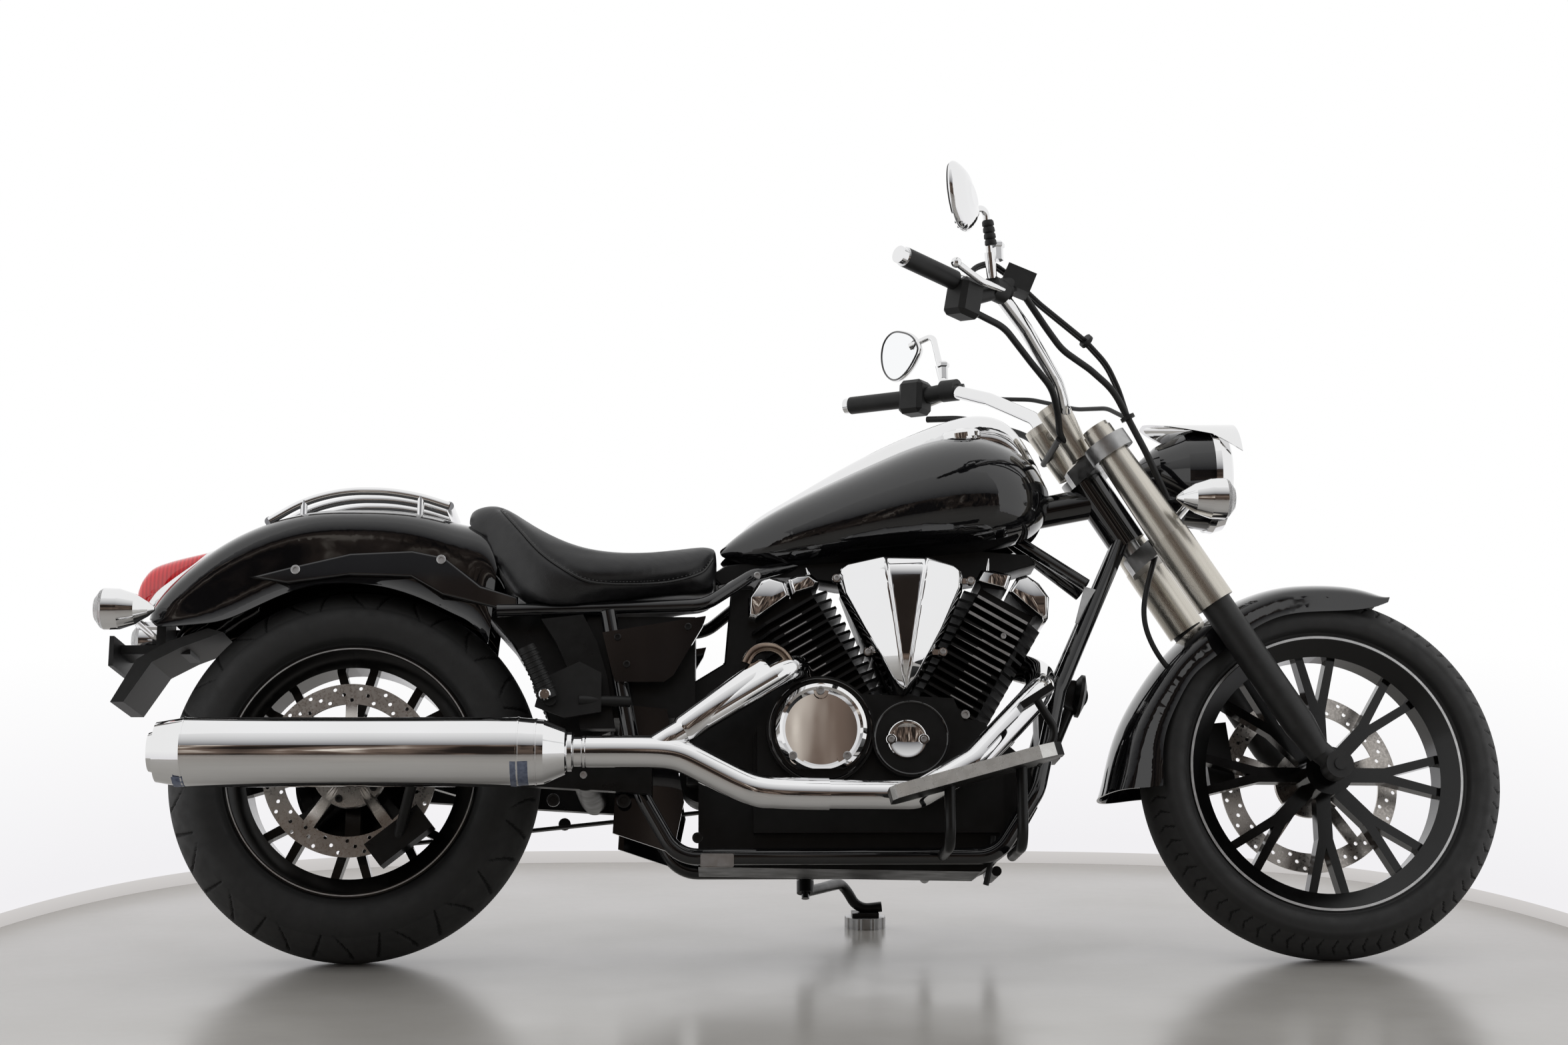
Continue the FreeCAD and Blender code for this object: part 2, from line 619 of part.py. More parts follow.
PIVOT_PLATE_SHARES = [(0.1, 0.15), (0.95, 0.02), (1.1, 0.35), (0.85, 0.95), (0.2, 0.98)]


def swingarm():
    """Two arms, their bridge ahead of the tyre, and the axle."""
    half = N.arm_height / 2
    tail = N.arm_tail / 2
    axle = N.rear_tyre_radius
    corners = [
        (-N.arm_tail, axle - tail), (-N.arm_tail, axle + tail), (N.arm_tail, axle + tail),
        (N.pivot_x + N.pivot_tube_radius, N.pivot_z + half),
        (N.pivot_x + N.pivot_tube_radius, N.pivot_z - half), (N.arm_tail, axle - tail),
    ]
    shapes = []
    for side in (-1, 1):
        near = side * N.arm_inner
        shapes.append(slab(corners, near, near + side * N.arm_thick))
    bridge = V(N.arm_bridge_x, N.arm_inner + N.arm_thick, N.pivot_z)
    shapes.append(rod(mirrored(bridge, -1), bridge, N.arm_bridge_radius))
    end = N.arm_inner + N.arm_thick + N.axle_overhang
    shapes.append(rod(V(0, -end, axle), V(0, end, axle), N.rear_axle_radius))
    feature("swingarm", "chassis", fused(shapes))


# Engine. The case is a plain block inside; the finned cylinders stand on it in a V.

CASE_SHARES = [
    (0, 0.03), (0.82, 0), (0.93, 0.16), (0.99, 0.36), (0.97, 0.62), (0.84, 0.84), (0.7, 0.9),
    (0.3, 0.9), (0.1, 0.8), (0, 0.6),
]
SIDE_CASE_SHARES = [(0.17, 0.44), (0.72, 0.4), (0.82, 0.6), (0.74, 0.96), (0.3, 1.0), (0.17, 0.8)]


def engine_case():
    """Crankcase with its round side covers, front pulley and intake duct."""
    side_case = placed(SIDE_CASE_SHARES, N.case_rear_x, N.case_length, N.case_base_z, N.case_height)
    low = placed(CASE_SHARES, N.case_rear_x, N.case_length, N.case_base_z, N.case_height)
    shapes = [slab(low, -N.gearbox_half_width, N.gearbox_half_width)]
    wide = [(max(x, N.case_rear_x + N.case_length * 0.16), z) for x, z in low]
    wide = [(x, max(z, N.cradle_height + N.cradle_radius * 3)) for x, z in wide]
    wide = [(min(x, N.downtube_low_x - N.cradle_radius * 4), z) for x, z in wide]
    trimmed = []
    for point in wide:
        if not trimmed or point != trimmed[-1]:
            trimmed.append(point)
    shapes.append(slab(trimmed, -N.case_half_width, N.case_half_width))
    for side in (-1, 1):
        shapes.append(slab(side_case, side * N.case_half_width * 0.9, side * N.side_case_face))
    clutch = V(N.clutch_x, 0, N.clutch_z)
    crank = V(N.crank_cover_x, 0, N.crank_cover_z)
    shapes.append(rod(clutch, clutch.sub(Y * N.clutch_ring_face), N.clutch_ring_radius))
    shapes.append(rod(crank, crank.sub(Y * N.crank_cover_face), N.crank_cover_radius))
    shapes.append(rod(crank, crank.add(Y * N.generator_face), N.generator_radius))
    for x in (N.front_mount_x, N.rear_mount_x):
        mount = V(x, N.cradle_half_width - N.cradle_radius - N.gap, N.cradle_height)
        shapes.append(rod(mirrored(mount, -1), mount, N.mount_radius))
    pulley = V(N.front_pulley_x, 0, N.front_pulley_z)
    shapes.append(rod(pulley, pulley.add(Y * (N.belt_offset + N.belt_width / 2)),
                      N.front_pulley_radius))
    duct = V(N.crank_x, -N.air_back / 2, N.duct_z + N.duct_height / 2)
    shapes.append(block(duct, N.duct_length, N.air_back - N.gap, N.duct_height))
    foot = N.duct_z - N.crank_z
    shapes.append(Part.makeBox(N.wall * 4, N.case_half_width, foot + N.overrun,
                               V(N.crank_x - N.wall * 2, -N.case_half_width / 2, N.crank_z)))
    feature("engine_case", "chassis", fused(shapes))


def octagon(length, back, width, corner, height):
    """A plate's outline with cut corners; back is its reach towards the other cylinder."""
    half = width / 2
    return [
        V(length - corner, -half, height), V(length, -half + corner, height),
        V(length, half - corner, height), V(length - corner, half, height),
        V(-back + corner, half, height), V(-back, half - corner, height),
        V(-back, -half + corner, height), V(-back + corner, -half, height),
    ]


def bank(side):
    """The placement of one cylinder: side 1 leans forward, -1 back."""
    return Placement(V(N.crank_x, 0, N.crank_z), Rotation(Y, side * N.bank_angle))


def cylinder(name, side):
    """A finned barrel and head; local X points away from the other cylinder."""
    lean = math.tan(math.radians(N.bank_angle))
    half = N.barrel_length / 2
    shapes = [
        Part.makeBox(N.barrel_length, N.barrel_width, N.head_top - N.barrel_foot,
                     V(-half, -N.barrel_width / 2, N.barrel_foot)),
    ]
    for index in range(int(N.fin_count)):
        height = N.fin_foot + index * N.fin_pitch
        back = min(N.fin_length / 2, height * lean - N.fin_thick)
        outer = N.fin_length / 2
        points = octagon(outer, back, N.fin_width, N.fin_corner, height)
        face = Part.Face(Part.makePolygon(points + points[:1]))
        shapes.append(face.extrude(V(0, 0, N.fin_thick)))
    solid = fused(shapes)
    if side < 0:
        solid = solid.mirror(V(), X)
    solid.Placement = bank(side)
    feature(name, "chassis", seated(solid, "engine_case"))


# Each block: where it starts and ends along the head, then its height at either end.
HEAD_BLOCK_SHARES = [(-0.5, -0.08, 0.62, 0.74), (0.02, 0.6, 1.12, 0.42)]


def head_cover(name, side):
    """Two bright bevelled blocks on a low base, on top of a cylinder's head."""
    floor = N.head_top + N.gap
    half = N.rocker_width / 2
    bevel = N.rocker_taper / 2
    base = N.rocker_height * 0.3
    shapes = []
    for start_share, end_share, near, far in HEAD_BLOCK_SHARES:
        start = start_share * N.rocker_length
        end = end_share * N.rocker_length
        low = [V(start, -half, 0), V(end, -half, 0), V(end, half, 0), V(start, half, 0)]
        high = [
            V(start + bevel, -half + bevel * 2, near * N.rocker_height),
            V(end - bevel, -half + bevel * 2, far * N.rocker_height),
            V(end - bevel, half - bevel * 2, far * N.rocker_height),
            V(start + bevel, half - bevel * 2, near * N.rocker_height),
        ]
        rise = Z * base
        sections = [low, [p.add(rise) for p in low], high]
        shapes.append(skin([[p.add(Z * floor) for p in points] for points in sections], True))
    last = HEAD_BLOCK_SHARES[-1][1]
    shapes.append(Part.makeBox(N.rocker_length * (0.5 + last) - bevel * 2, N.rocker_width - bevel * 4,
                               base / 2, V(bevel - N.rocker_length / 2, bevel * 2 - half, floor)))
    solid = fused(shapes)
    if side < 0:
        solid = solid.mirror(V(), X)
    solid.Placement = bank(side)
    feature(name, "chassis", solid)


# How far each bolt pocket lies round from straight ahead, in degrees.
CLUTCH_TAB_ANGLES = (90, 230, 308)


def clutch_cover():
    """The bright cover over the clutch: a raised ring, a flat middle and three bolt pads."""
    wide = N.clutch_radius
    depth = N.clutch_face - N.clutch_ring_face - N.gap
    centre = V(N.clutch_x, -N.clutch_ring_face - N.gap, N.clutch_z)
    shapes = [turned([
        (0, 0), (depth * 0.55, 0), (depth * 0.55, wide * 0.76), (depth * 0.92, wide * 0.82),
        (depth, wide * 0.88), (depth * 0.8, wide * 0.96), (depth * 0.35, wide), (0, wide),
    ], centre, Y.negative())]
    for angle in CLUTCH_TAB_ANGLES:
        turn = math.radians(angle)
        place = centre.add(V(math.cos(turn), 0, math.sin(turn)) * (wide * 0.8))
        shapes.append(rod(place, place.sub(Y * (depth * 0.86)), wide * 0.16))
    solid = fused(shapes)
    flat = Part.makeBox(wide * 2, N.clutch_face, wide,
                        V(centre.x - wide, -N.clutch_face - N.overrun, centre.z - wide * 1.86))
    feature("clutch_cover", "chassis", solid.cut(flat))


AIR_COVER_SHARES = [
    (-0.5, 0.88), (-0.44, 0.94), (-0.14, 1.0), (0.2, 1.0), (0.47, 0.92), (0.5, 0.85),
    (0.49, 0.75), (0.14, 0.1), (0, 0), (-0.12, 0.1), (-0.47, 0.72),
]


# The sunken channel down the middle of the cover.
AIR_CHANNEL_SHARES = [(-0.137, 1.1), (0.2, 1.1), (0.2, 0.93), (0.06, 0.14), (-0.01, 0.14), (-0.137, 0.93)]


def air_cleaner_cover():
    """The bright V-shaped cover between the cylinders, with a channel down its middle."""
    points = placed(AIR_COVER_SHARES, N.air_foot_x, N.air_width, N.air_foot_z, N.air_height)
    solid = softened(slab(points, -N.air_back, -N.air_face), N.air_edge_radius, -N.air_face)
    line = placed(AIR_CHANNEL_SHARES, N.air_foot_x, N.air_width, N.air_foot_z, N.air_height)
    solid = solid.cut(slab(line, -N.air_face - N.overrun, -N.air_face + N.air_channel_depth))
    shapes = [solid]
    for top, foot in ((line[2], line[3]), (line[5], line[4])):
        start = V(top[0], -N.air_face + N.wall, top[1])
        end = V(foot[0], -N.air_face + N.wall, foot[1])
        shapes.append(rod(start, end, N.wall * 1.4))
    feature("air_cleaner_cover", "chassis", fused(shapes))


def exhaust():
    """The headers with their shared pipe, and the long muffler."""
    out = -N.muffler_offset
    ahead = bank(1).multVec(V(N.fin_length / 2, -N.barrel_width / 4, N.head_foot + N.fin_pitch))
    front = [
        ahead, ahead.add(V(N.fin_pitch * 2, -N.fin_pitch * 2, -N.fin_pitch)),
        V(N.downtube_mid_x - N.header_radius * 2, out * 0.68, N.crank_cover_z + N.clutch_radius),
        V(N.crank_x + N.clutch_radius * 1.5, out * 0.86, N.crank_cover_z - N.header_radius * 2),
        V(N.crank_x + N.header_radius, out * 0.9, N.pipe_low_z),
        V(N.crank_x - N.muffler_offset, out, N.pipe_low_z),
        V(N.front_pulley_x - N.header_radius * 2, out, N.muffler_z),
        V(N.muffler_tail_x + N.muffler_length + N.gap, out, N.muffler_z),
    ]
    behind = bank(-1).multVec(V(-N.fin_length / 4, -N.fin_width / 2 + N.fin_pitch,
                                N.head_foot - N.fin_pitch * 2))
    rear = [
        behind, V(behind.x - N.fin_pitch, out * 0.8, N.crank_z + N.muffler_offset * 0.86),
        V(N.front_pulley_x - N.header_radius * 2.4, out, N.muffler_z + N.header_radius),
        V(N.front_pulley_x - N.header_radius * 4, out, N.muffler_z),
    ]
    pipes = fused([
        bent_tube(front, N.pipe_radius, N.cradle_bend),
        bent_tube(rear, N.header_radius * 0.9, N.cradle_bend),
    ])
    feature("exhaust_pipes", "chassis",
            seated(pipes, "front_cylinder", "rear_cylinder", "engine_case"))
    body = new_body("muffler")
    long = S.muffler_length
    wide = S.muffler_radius
    bore = S.outlet_radius
    sketch = outline(body, "XZ_Plane", [
        (S.outlet_depth, 0), (S.outlet_depth, bore), (0, bore), (0, wide * 0.56),
        (S.wall * 3, wide * 0.6), (S.wall * 4, wide * 0.86), (long * 0.085, wide),
        (long * 0.875, wide), (long * 0.94, wide * 0.92), (long * 0.99, wide * 0.66), (long, wide * 0.5),
        (long, 0),
    ])
    revolve(body, sketch)
    keep("muffler", "chassis", body, Placement(V(N.muffler_tail_x, out, N.muffler_z), Rotation()))


# Tank, console and seat

# Each station: share of the length, then top, bottom and half width as shares.
TANK_STATION_SHARES = [
    (0, 0.12, 0.05, 0.24), (0.08, 0.26, 0.01, 0.42), (0.2, 0.41, 0, 0.6), (0.34, 0.55, 0.02, 0.76),
    (0.5, 0.7, 0.045, 0.9), (0.66, 0.82, 0.07, 0.99), (0.8, 0.83, 0.1, 1.0), (0.9, 0.75, 0.15, 0.86),
    (0.96, 0.65, 0.22, 0.62), (1.0, 0.53, 0.36, 0.28),
]
TANK_SECTION_SHARES = [
    (0, 1), (0.34, 0.97), (0.66, 0.86), (0.88, 0.68), (1, 0.43), (0.95, 0.2), (0.72, 0.05), (0.35, 0),
]


def ring(section_shares, x, top, bottom, half):
    """A closed outline across the machine, from shares of its half width and height."""
    right = [V(x, -a * half, bottom + b * (top - bottom)) for a, b in section_shares]
    left = [mirrored(p, -1) for p in reversed(right) if abs(p.y) > 0]
    return right + left


def fuel_tank():
    """A teardrop tank, hollowed below for the frame's backbone."""
    sections = []
    for along, top, bottom, half in TANK_STATION_SHARES:
        x = N.tank_rear_x + along * N.tank_length
        high = N.tank_base_z + top * N.tank_height
        low = N.tank_base_z + bottom * N.tank_height
        sections.append(ring(TANK_SECTION_SHARES, x, high, low, half * N.tank_half_width))
    solid = smooth_skin(sections)
    top = from_head("backbone_front")
    slope = (top.z - N.backbone_rear_z) / (top.x - N.backbone_rear_x)
    rise = N.backbone_radius + N.tunnel_room
    start = N.tank_rear_x - N.overrun
    end = N.tank_rear_x + N.tank_length + N.overrun
    floor = N.tank_base_z - N.overrun
    low = N.backbone_rear_z + rise + (start - N.backbone_rear_x) * slope
    high = N.backbone_rear_z + rise + (end - N.backbone_rear_x) * slope
    tunnel = slab([(start, floor), (end, floor), (end, high), (start, low)],
                  -N.tunnel_half_width, N.tunnel_half_width)
    solid = solid.cut(tunnel)
    for side in (-1, 1):
        solid = solid.cut(bent_tube(rail_path(side), N.rail_radius + N.gap, N.cradle_bend))
    feature("fuel_tank", "chassis", max(solid.Solids, key=lambda part: part.Volume))


# Each station: share of the tank's length, then its crown and half width as shares.
CONSOLE_STATION_SHARES = [
    (0.06, 0.235, 0.2), (0.12, 0.345, 0.42), (0.2, 0.445, 0.58), (0.34, 0.615, 0.76), (0.5, 0.79, 0.9),
    (0.66, 0.93, 0.99), (0.8, 0.995, 1.0), (0.86, 0.97, 0.98), (0.92, 0.86, 0.92), (0.965, 0.7, 0.84),
    (0.985, 0.6, 0.76),
]
CONSOLE_SECTION_SHARES = [(0, 1), (0.42, 0.95), (0.78, 0.76), (0.97, 0.42), (1, 0), (0.5, -0.1)]


def tank_console():
    """The bright raised spine along the top of the tank, notched round the filler cap."""
    sections = []
    for along, crown, half in CONSOLE_STATION_SHARES:
        x = N.tank_rear_x + along * N.tank_length
        high = N.tank_base_z + crown * N.tank_height
        wide = half * N.console_half_width
        sections.append(ring(CONSOLE_SECTION_SHARES, x, high, high - N.console_height, wide))
    feature("tank_console", "chassis", seated(smooth_skin(sections), "fuel_tank", "filler_cap"))


def filler_cap():
    """The round cap on its neck, to the right of the console."""
    wide = N.cap_radius
    centre = V(N.cap_x, -N.cap_offset, N.cap_z)
    axis = V(-math.sin(RAKE) / 4, -math.sin(RAKE) / 3, 1)
    solid = turned([
        (-N.cap_height, 0), (-N.cap_height, wide * 0.8), (0, wide * 0.8), (0, wide), (N.cap_height * 0.3, wide),
        (N.cap_height * 0.5, wide * 0.84), (N.cap_height * 0.62, wide * 0.5), (N.cap_height * 0.62, 0),
    ], centre, axis)
    feature("filler_cap", "chassis", seated(solid, "fuel_tank"))


SEAT_STATION_SHARES = [
    (0, 0.93, 0.62, 0.42), (0.06, 0.99, 0.5, 0.6), (0.13, 0.97, 0.36, 0.72), (0.22, 0.85, 0.13, 0.86),
    (0.34, 0.68, 0.02, 0.96), (0.48, 0.56, 0.06, 1.0), (0.62, 0.52, 0.12, 0.98), (0.76, 0.54, 0.17, 0.88),
    (0.9, 0.61, 0.2, 0.7), (1.0, 0.64, 0.26, 0.48),
]
SEAT_SECTION_SHARES = [(0, 0.94), (0.4, 0.98), (0.74, 0.96), (0.96, 0.72), (1, 0.4), (0.9, 0.06), (0.4, 0)]


def fender_fill():
    """The rear fender's outer volume with room to spare, which the seat sits over."""
    sections = []
    for crown, edge in fender_stations():
        half = N.fender_half_width + N.gap
        high = crown.add(crown.sub(edge).normalize().multiply(N.gap))
        line = shell_line(high, edge, half, N.fender_crown_drop, 0)
        sections.append(line[::-1] + [mirrored(p, -1) for p in line[1:]])
    return skin(sections, True)


def seat():
    """The solo saddle as one plain closed cushion."""
    sections = []
    for along, top, bottom, half in SEAT_STATION_SHARES:
        x = N.seat_rear_x + along * N.seat_length
        high = N.seat_base_z + top * N.seat_height
        low = N.seat_base_z + bottom * N.seat_height
        sections.append(ring(SEAT_SECTION_SHARES, x, high, low, half * N.seat_half_width))
    cushion = smooth_skin(sections).cut(fender_fill())
    feature("seat", "chassis", seated(cushion, "rear_fender", "frame"))


# Rear fender and what it carries

# Each station: x of the crown, its height, then x and height of the lower edge.
FENDER_STATION_SHARES = [
    (0.0, 0.26, 0.05, 0.17), (0.02, 0.4, 0.12, 0.18), (0.1, 0.6, 0.2, 0.2), (0.225, 0.81, 0.29, 0.28),
    (0.33, 0.92, 0.38, 0.38), (0.44, 0.985, 0.47, 0.44), (0.55, 1.0, 0.555, 0.45),
    (0.68, 0.99, 0.66, 0.42), (0.78, 0.95, 0.76, 0.34), (0.86, 0.9, 0.84, 0.25), (0.96, 0.72, 0.93, 0.06),
]


def shell_line(crown, edge, half, drop, wall):
    """Half of an arched section, from the crown's middle to the right lower edge."""
    down = edge.sub(crown)
    depth = down.Length
    fall = min(drop, depth * 0.6)
    points = []
    for across, share in ((0, 0), (0.55, 0.25), (0.86, 0.62), (1, 1)):
        low = crown.add(down * ((fall * share + wall) / depth))
        points.append(low.add(V(0, -max(half * across - wall, 0), 0)))
    waist = crown.add(down * ((fall + wall + depth) / depth / 2))
    points.append(V(waist.x, wall - half, waist.z))
    points.append(V(edge.x, wall - half, edge.z))
    return points


def curve_through(points):
    """A smooth edge through points."""
    curve = Part.BSplineCurve()
    curve.interpolate(Points=points)
    return curve.toShape()


def shell(stations, half, drop, wall):
    """An arched shell of even wall between its crown line and lower edge line."""
    wires = []
    for crown, edge in stations:
        line = shell_line(crown, edge, half, drop, 0)
        under = shell_line(crown, edge, half, drop, wall)
        outer = line[::-1] + [mirrored(p, -1) for p in line[1:]]
        inner = [mirrored(p, -1) for p in under[::-1]] + under[1:]
        wires.append(Part.Wire([
            curve_through(outer), Part.LineSegment(outer[-1], inner[0]).toShape(),
            curve_through(inner), Part.LineSegment(inner[-1], outer[0]).toShape(),
        ]))
    return Part.makeLoft(wires, True, False)


def fender_stations():
    """The rear fender's crown and lower edge, from its tail forward."""
    stations = []
    for top_x, top_z, low_x, low_z in FENDER_STATION_SHARES:
        crown = V(N.fender_rear_x + top_x * N.fender_length, 0,
                  N.fender_base_z + top_z * N.fender_height)
        edge = V(N.fender_rear_x + low_x * N.fender_length, 0,
                 N.fender_base_z + low_z * N.fender_height)
        stations.append((crown, edge))
    return stations


STRUT_SHARES = [(0, 0.9), (0.14, 1.42), (0.37, 2.2), (0.6, 2.35), (0.72, 2.0), (0.86, 0.4), (1.0, -0.2),
                (1.0, -1.1), (0.72, -0.1), (0.6, 0.9), (0.37, 1.0), (0.14, 0.55)]


def rear_fender():
    """The deep fender with its raised struts along both sides."""
    solid = shell(fender_stations(), N.fender_half_width, N.fender_crown_drop, N.fender_wall)
    start = N.fender_rear_x + N.fender_length * 0.29
    corners = placed(STRUT_SHARES, start, N.fender_length * 0.72,
                     N.fender_base_z + N.fender_height * 0.38, N.strut_height)
    shapes = [solid]
    for side in (-1, 1):
        near = side * (N.fender_half_width - N.fender_wall / 2)
        far = side * (N.cradle_half_width - N.rail_radius - N.gap)
        shapes.append(softened(slab(corners, near, far), N.strut_round, far))
    feature("rear_fender", "chassis", fused(shapes))


RACK_SHARES = [(0, 0), (0.19, 0.66), (0.42, 1.0), (0.66, 0.98), (0.84, 0.8), (1.0, 0.5)]


def luggage_rack():
    """A low rail of three bowed tubes on four short posts."""
    line = placed(RACK_SHARES, N.rack_rear_x, N.rack_length, N.rack_base_z, N.rack_rise)
    shapes = []
    for across in (-1, 0, 1):
        points = [V(x, across * N.rack_half_width * 0.98, z) for x, z in line]
        shapes.append(bent_tube(points, N.rack_tube_radius, N.rack_length))
    for x, z in (line[0], line[-1]):
        end = V(x, N.rack_half_width, z)
        shapes.append(rod(mirrored(end, -1), end, N.rack_bar_radius))
    for x, z in (line[1], line[4]):
        for side in (-1, 1):
            top = V(x, side * N.rack_half_width, z)
            shapes.append(rod(top, top.sub(Z * (N.rack_rise * 0.75)), N.rack_post_radius))
    feature("luggage_rack", "chassis", seated(fused(shapes), "rear_fender"))


TAIL_STATION_SHARES = [
    (0, 0.34, 0.3, 0.5), (0.08, 0.62, 0.16, 0.85), (0.3, 0.82, 0.12, 1.0), (0.7, 0.96, 0.4, 0.96),
    (1.0, 1.0, 0.72, 0.7),
]


def tail_light():
    """A red lens that wraps back from a bright housing on the fender."""
    sections = []
    for along, top, bottom, half in TAIL_STATION_SHARES:
        x = N.tail_x + along * N.tail_length
        high = N.tail_base_z + top * N.tail_height
        low = N.tail_base_z + bottom * N.tail_height
        sections.append(ring(SEAT_SECTION_SHARES, x, high, low, half * N.tail_half_width))
    solid = smooth_skin(sections)
    fender = PIECES["rear_fender"][0].Shape
    solid = solid.cut(fender)
    solid = max(solid.Solids, key=lambda s: s.Volume)
    seam = V(N.tail_x + N.tail_chrome_length, 0, N.tail_base_z)
    slope = Rotation(Y, -N.rake_angle)
    knife = Part.makeBox(N.tail_length * 2, N.tail_half_width * 4, N.tail_length * 4,
                         V(0, -N.tail_half_width * 2, -N.tail_length * 2))
    knife.Placement = Placement(seam, slope)
    shifted = knife.copy()
    shifted.Placement = Placement(seam.sub(X * N.gap), slope)
    feature("tail_light_housing", "chassis", solid.common(knife))
    feature("tail_light_lens", "chassis", solid.cut(shifted))


def signal_profile():
    """A bullet-shaped lamp body and lens, from its lens face forward."""
    wide = N.signal_radius
    long = N.signal_length
    return [
        (-N.signal_lens, 0), (-N.signal_lens, wide * 0.55), (-N.signal_lens * 0.4, wide * 0.9), (0, wide),
        (long * 0.3, wide * 0.97), (long * 0.62, wide * 0.72), (long * 0.88, wide * 0.34), (long, wide * 0.1),
        (long, 0),
    ]


def rear_signals():
    """Two bullet signals on one cross stay."""
    shapes = []
    for side in (-1, 1):
        lens = V(N.rear_signal_x - N.signal_length * 0.7, side * N.rear_signal_offset,
                 N.rear_signal_z)
        shapes.append(turned(signal_profile(), lens, X))
    stay = V(N.rear_signal_x - N.signal_length * 0.3, N.rear_signal_offset, N.rear_signal_z)
    shapes.append(rod(mirrored(stay, -1), stay, N.signal_stay_radius))
    tab = block(V(N.rear_signal_x, 0, N.rear_signal_z), N.signal_radius * 2,
                N.signal_radius, N.signal_stay_radius)
    shapes.append(tab)
    feature("rear_signals", "chassis", seated(fused(shapes), "rear_fender"))


FLAP_SHARES = [(0.86, 1.0), (0.5, 0.66), (0.22, 0.2), (0, -0.9), (0.12, -0.9), (0.36, 0.12), (0.62, 0.5),
               (1.0, 0.9)]


def licence_bracket():
    """The blank plate's holder with the inner splash flap under the fender."""
    z = N.plate_base_z
    shapes = [
        block(V(N.plate_x, 0, z + N.plate_height / 2), N.plate_thick, N.plate_half_width * 2,
              N.plate_height),
        block(V(N.plate_x + N.plate_height * 1.2, 0, z + N.plate_height * 0.72),
              N.plate_height * 2.4, N.plate_half_width * 0.9, N.plate_thick * 2),
    ]
    corners = placed(FLAP_SHARES, N.plate_x, N.plate_height * 3.6, z, N.plate_height * 1.3)
    shapes.append(slab(corners, -N.flap_half_width, N.flap_half_width))
    stay = V(N.plate_x + N.plate_height * 1.4, 0, z + N.plate_height * 0.72)
    shapes.append(block(stay.add(Z * N.plate_height * 0.6), N.plate_thick * 2,
                        N.plate_half_width * 0.9, N.plate_height * 1.2))
    feature("licence_bracket", "chassis", seated(fused(shapes), "rear_fender", "rear_signals"))


# Side covers, boards and pegs

COVER_SHARES = [(0, 0.75), (1.0, 1.0), (0.97, 0.84), (0.69, 0.1), (0.6, 0), (0.13, 0), (0.1, 0.12)]


def side_covers():
    for side, word in ((-1, "right"), (1, "left")):
        corners = placed(COVER_SHARES, N.cover_rear_x, N.cover_length, N.cover_base_z, N.cover_height)
        near = side * (N.cradle_half_width + N.cradle_radius + N.gap)
        solid = slab(corners, near, side * N.cover_face)
        feature("side_cover_" + word, "chassis", solid)


BAND_SHARES = [
    (0, 0.96), (0.2, 0.76), (0.41, 0.46), (0.54, 0), (1, 0), (0.89, 0.46), (0.75, 0.76), (0.56, 1.0),
]


def battery_box():
    """The dark box under the seat, with a curved band down each side of it."""
    half = N.cradle_half_width - N.cradle_radius - N.gap
    shapes = [Part.makeBox(N.box_length, half * 2, N.box_height, V(N.box_rear_x, -half, N.box_base_z))]
    corners = placed(BAND_SHARES, N.band_rear_x, N.band_length, N.band_base_z, N.band_height)
    for side in (-1, 1):
        shapes.append(slab(corners, side * (half - N.wall * 4), side * N.band_face))
    box = fused(shapes).cut(belt_loop(N.belt_thick + N.belt_room, N.belt_room))
    feature("battery_box", "chassis", seated(box, "frame", "seat"))


BOARD_PLAN_SHARES = [
    (0, 0.2), (0.03, 0.04), (0.1, 0), (0.86, 0), (0.95, 0.1), (1, 0.34), (1, 0.66), (0.95, 0.9), (0.86, 1),
    (0.1, 1), (0.03, 0.96), (0, 0.8),
]


def floorboards():
    """A foot board on two arms from the cradle, with the pedal above its front end."""
    slope = math.radians(N.board_slope_angle)
    along = V(math.cos(slope), 0, math.sin(slope))
    for side, word in ((-1, "right"), (1, "left")):
        start = V(N.board_rear_x, side * N.board_inner, N.board_rear_z)
        width = N.board_outer - N.board_inner
        plan = [V(x * N.board_length, y * width, 0) for x, y in BOARD_PLAN_SHARES]
        board = Part.Face(Part.makePolygon(plan + plan[:1])).extrude(Z * N.board_thick)
        turn = Rotation(Y, -N.board_slope_angle)
        base = start if side > 0 else V(start.x, -N.board_outer, start.z)
        board.Placement = Placement(base, turn)
        shapes = [board]
        for share in (0.34, 0.76):
            under = start.add(along * (N.board_length * share)).add(Y * (side * width / 3))
            root = V(under.x, side * N.cradle_half_width, N.cradle_height)
            knee = V(under.x, under.y, N.cradle_height)
            shapes.append(bent_tube([root, knee, under.add(Z * (N.board_thick / 2))],
                                    N.board_arm_radius, N.board_arm_radius * 4))
        pivot = start.add(along * (N.board_length * 0.86)).add(Y * (side * N.board_arm_radius))
        pad_point = V(N.pedal_x, side * N.pedal_offset, N.pedal_z)
        knee = V(N.pedal_x + N.pad_length * 0.6, side * (N.pedal_offset - N.pad_width / 2),
                 (pivot.z + pad_point.z) / 2)
        shapes.append(bent_tube([pivot, knee, pad_point], N.pedal_radius, N.pad_length / 2))
        rubber = Part.makeBox(N.pad_length, N.pad_width, N.pad_thick,
                              V(-N.pad_length / 2, -N.pad_width / 2, -N.pad_thick / 2))
        rubber.Placement = Placement(pad_point, Rotation(Y, -N.rake_angle))
        shapes.append(rubber)
        feature("floorboard_" + word, "chassis", seated(fused(shapes), "frame"))


PEG_PLATE_SHARES = [(0.1, 0.2), (0.5, 0), (1.0, 0.1), (1.0, 0.8), (0.7, 1.0), (0.2, 0.7)]


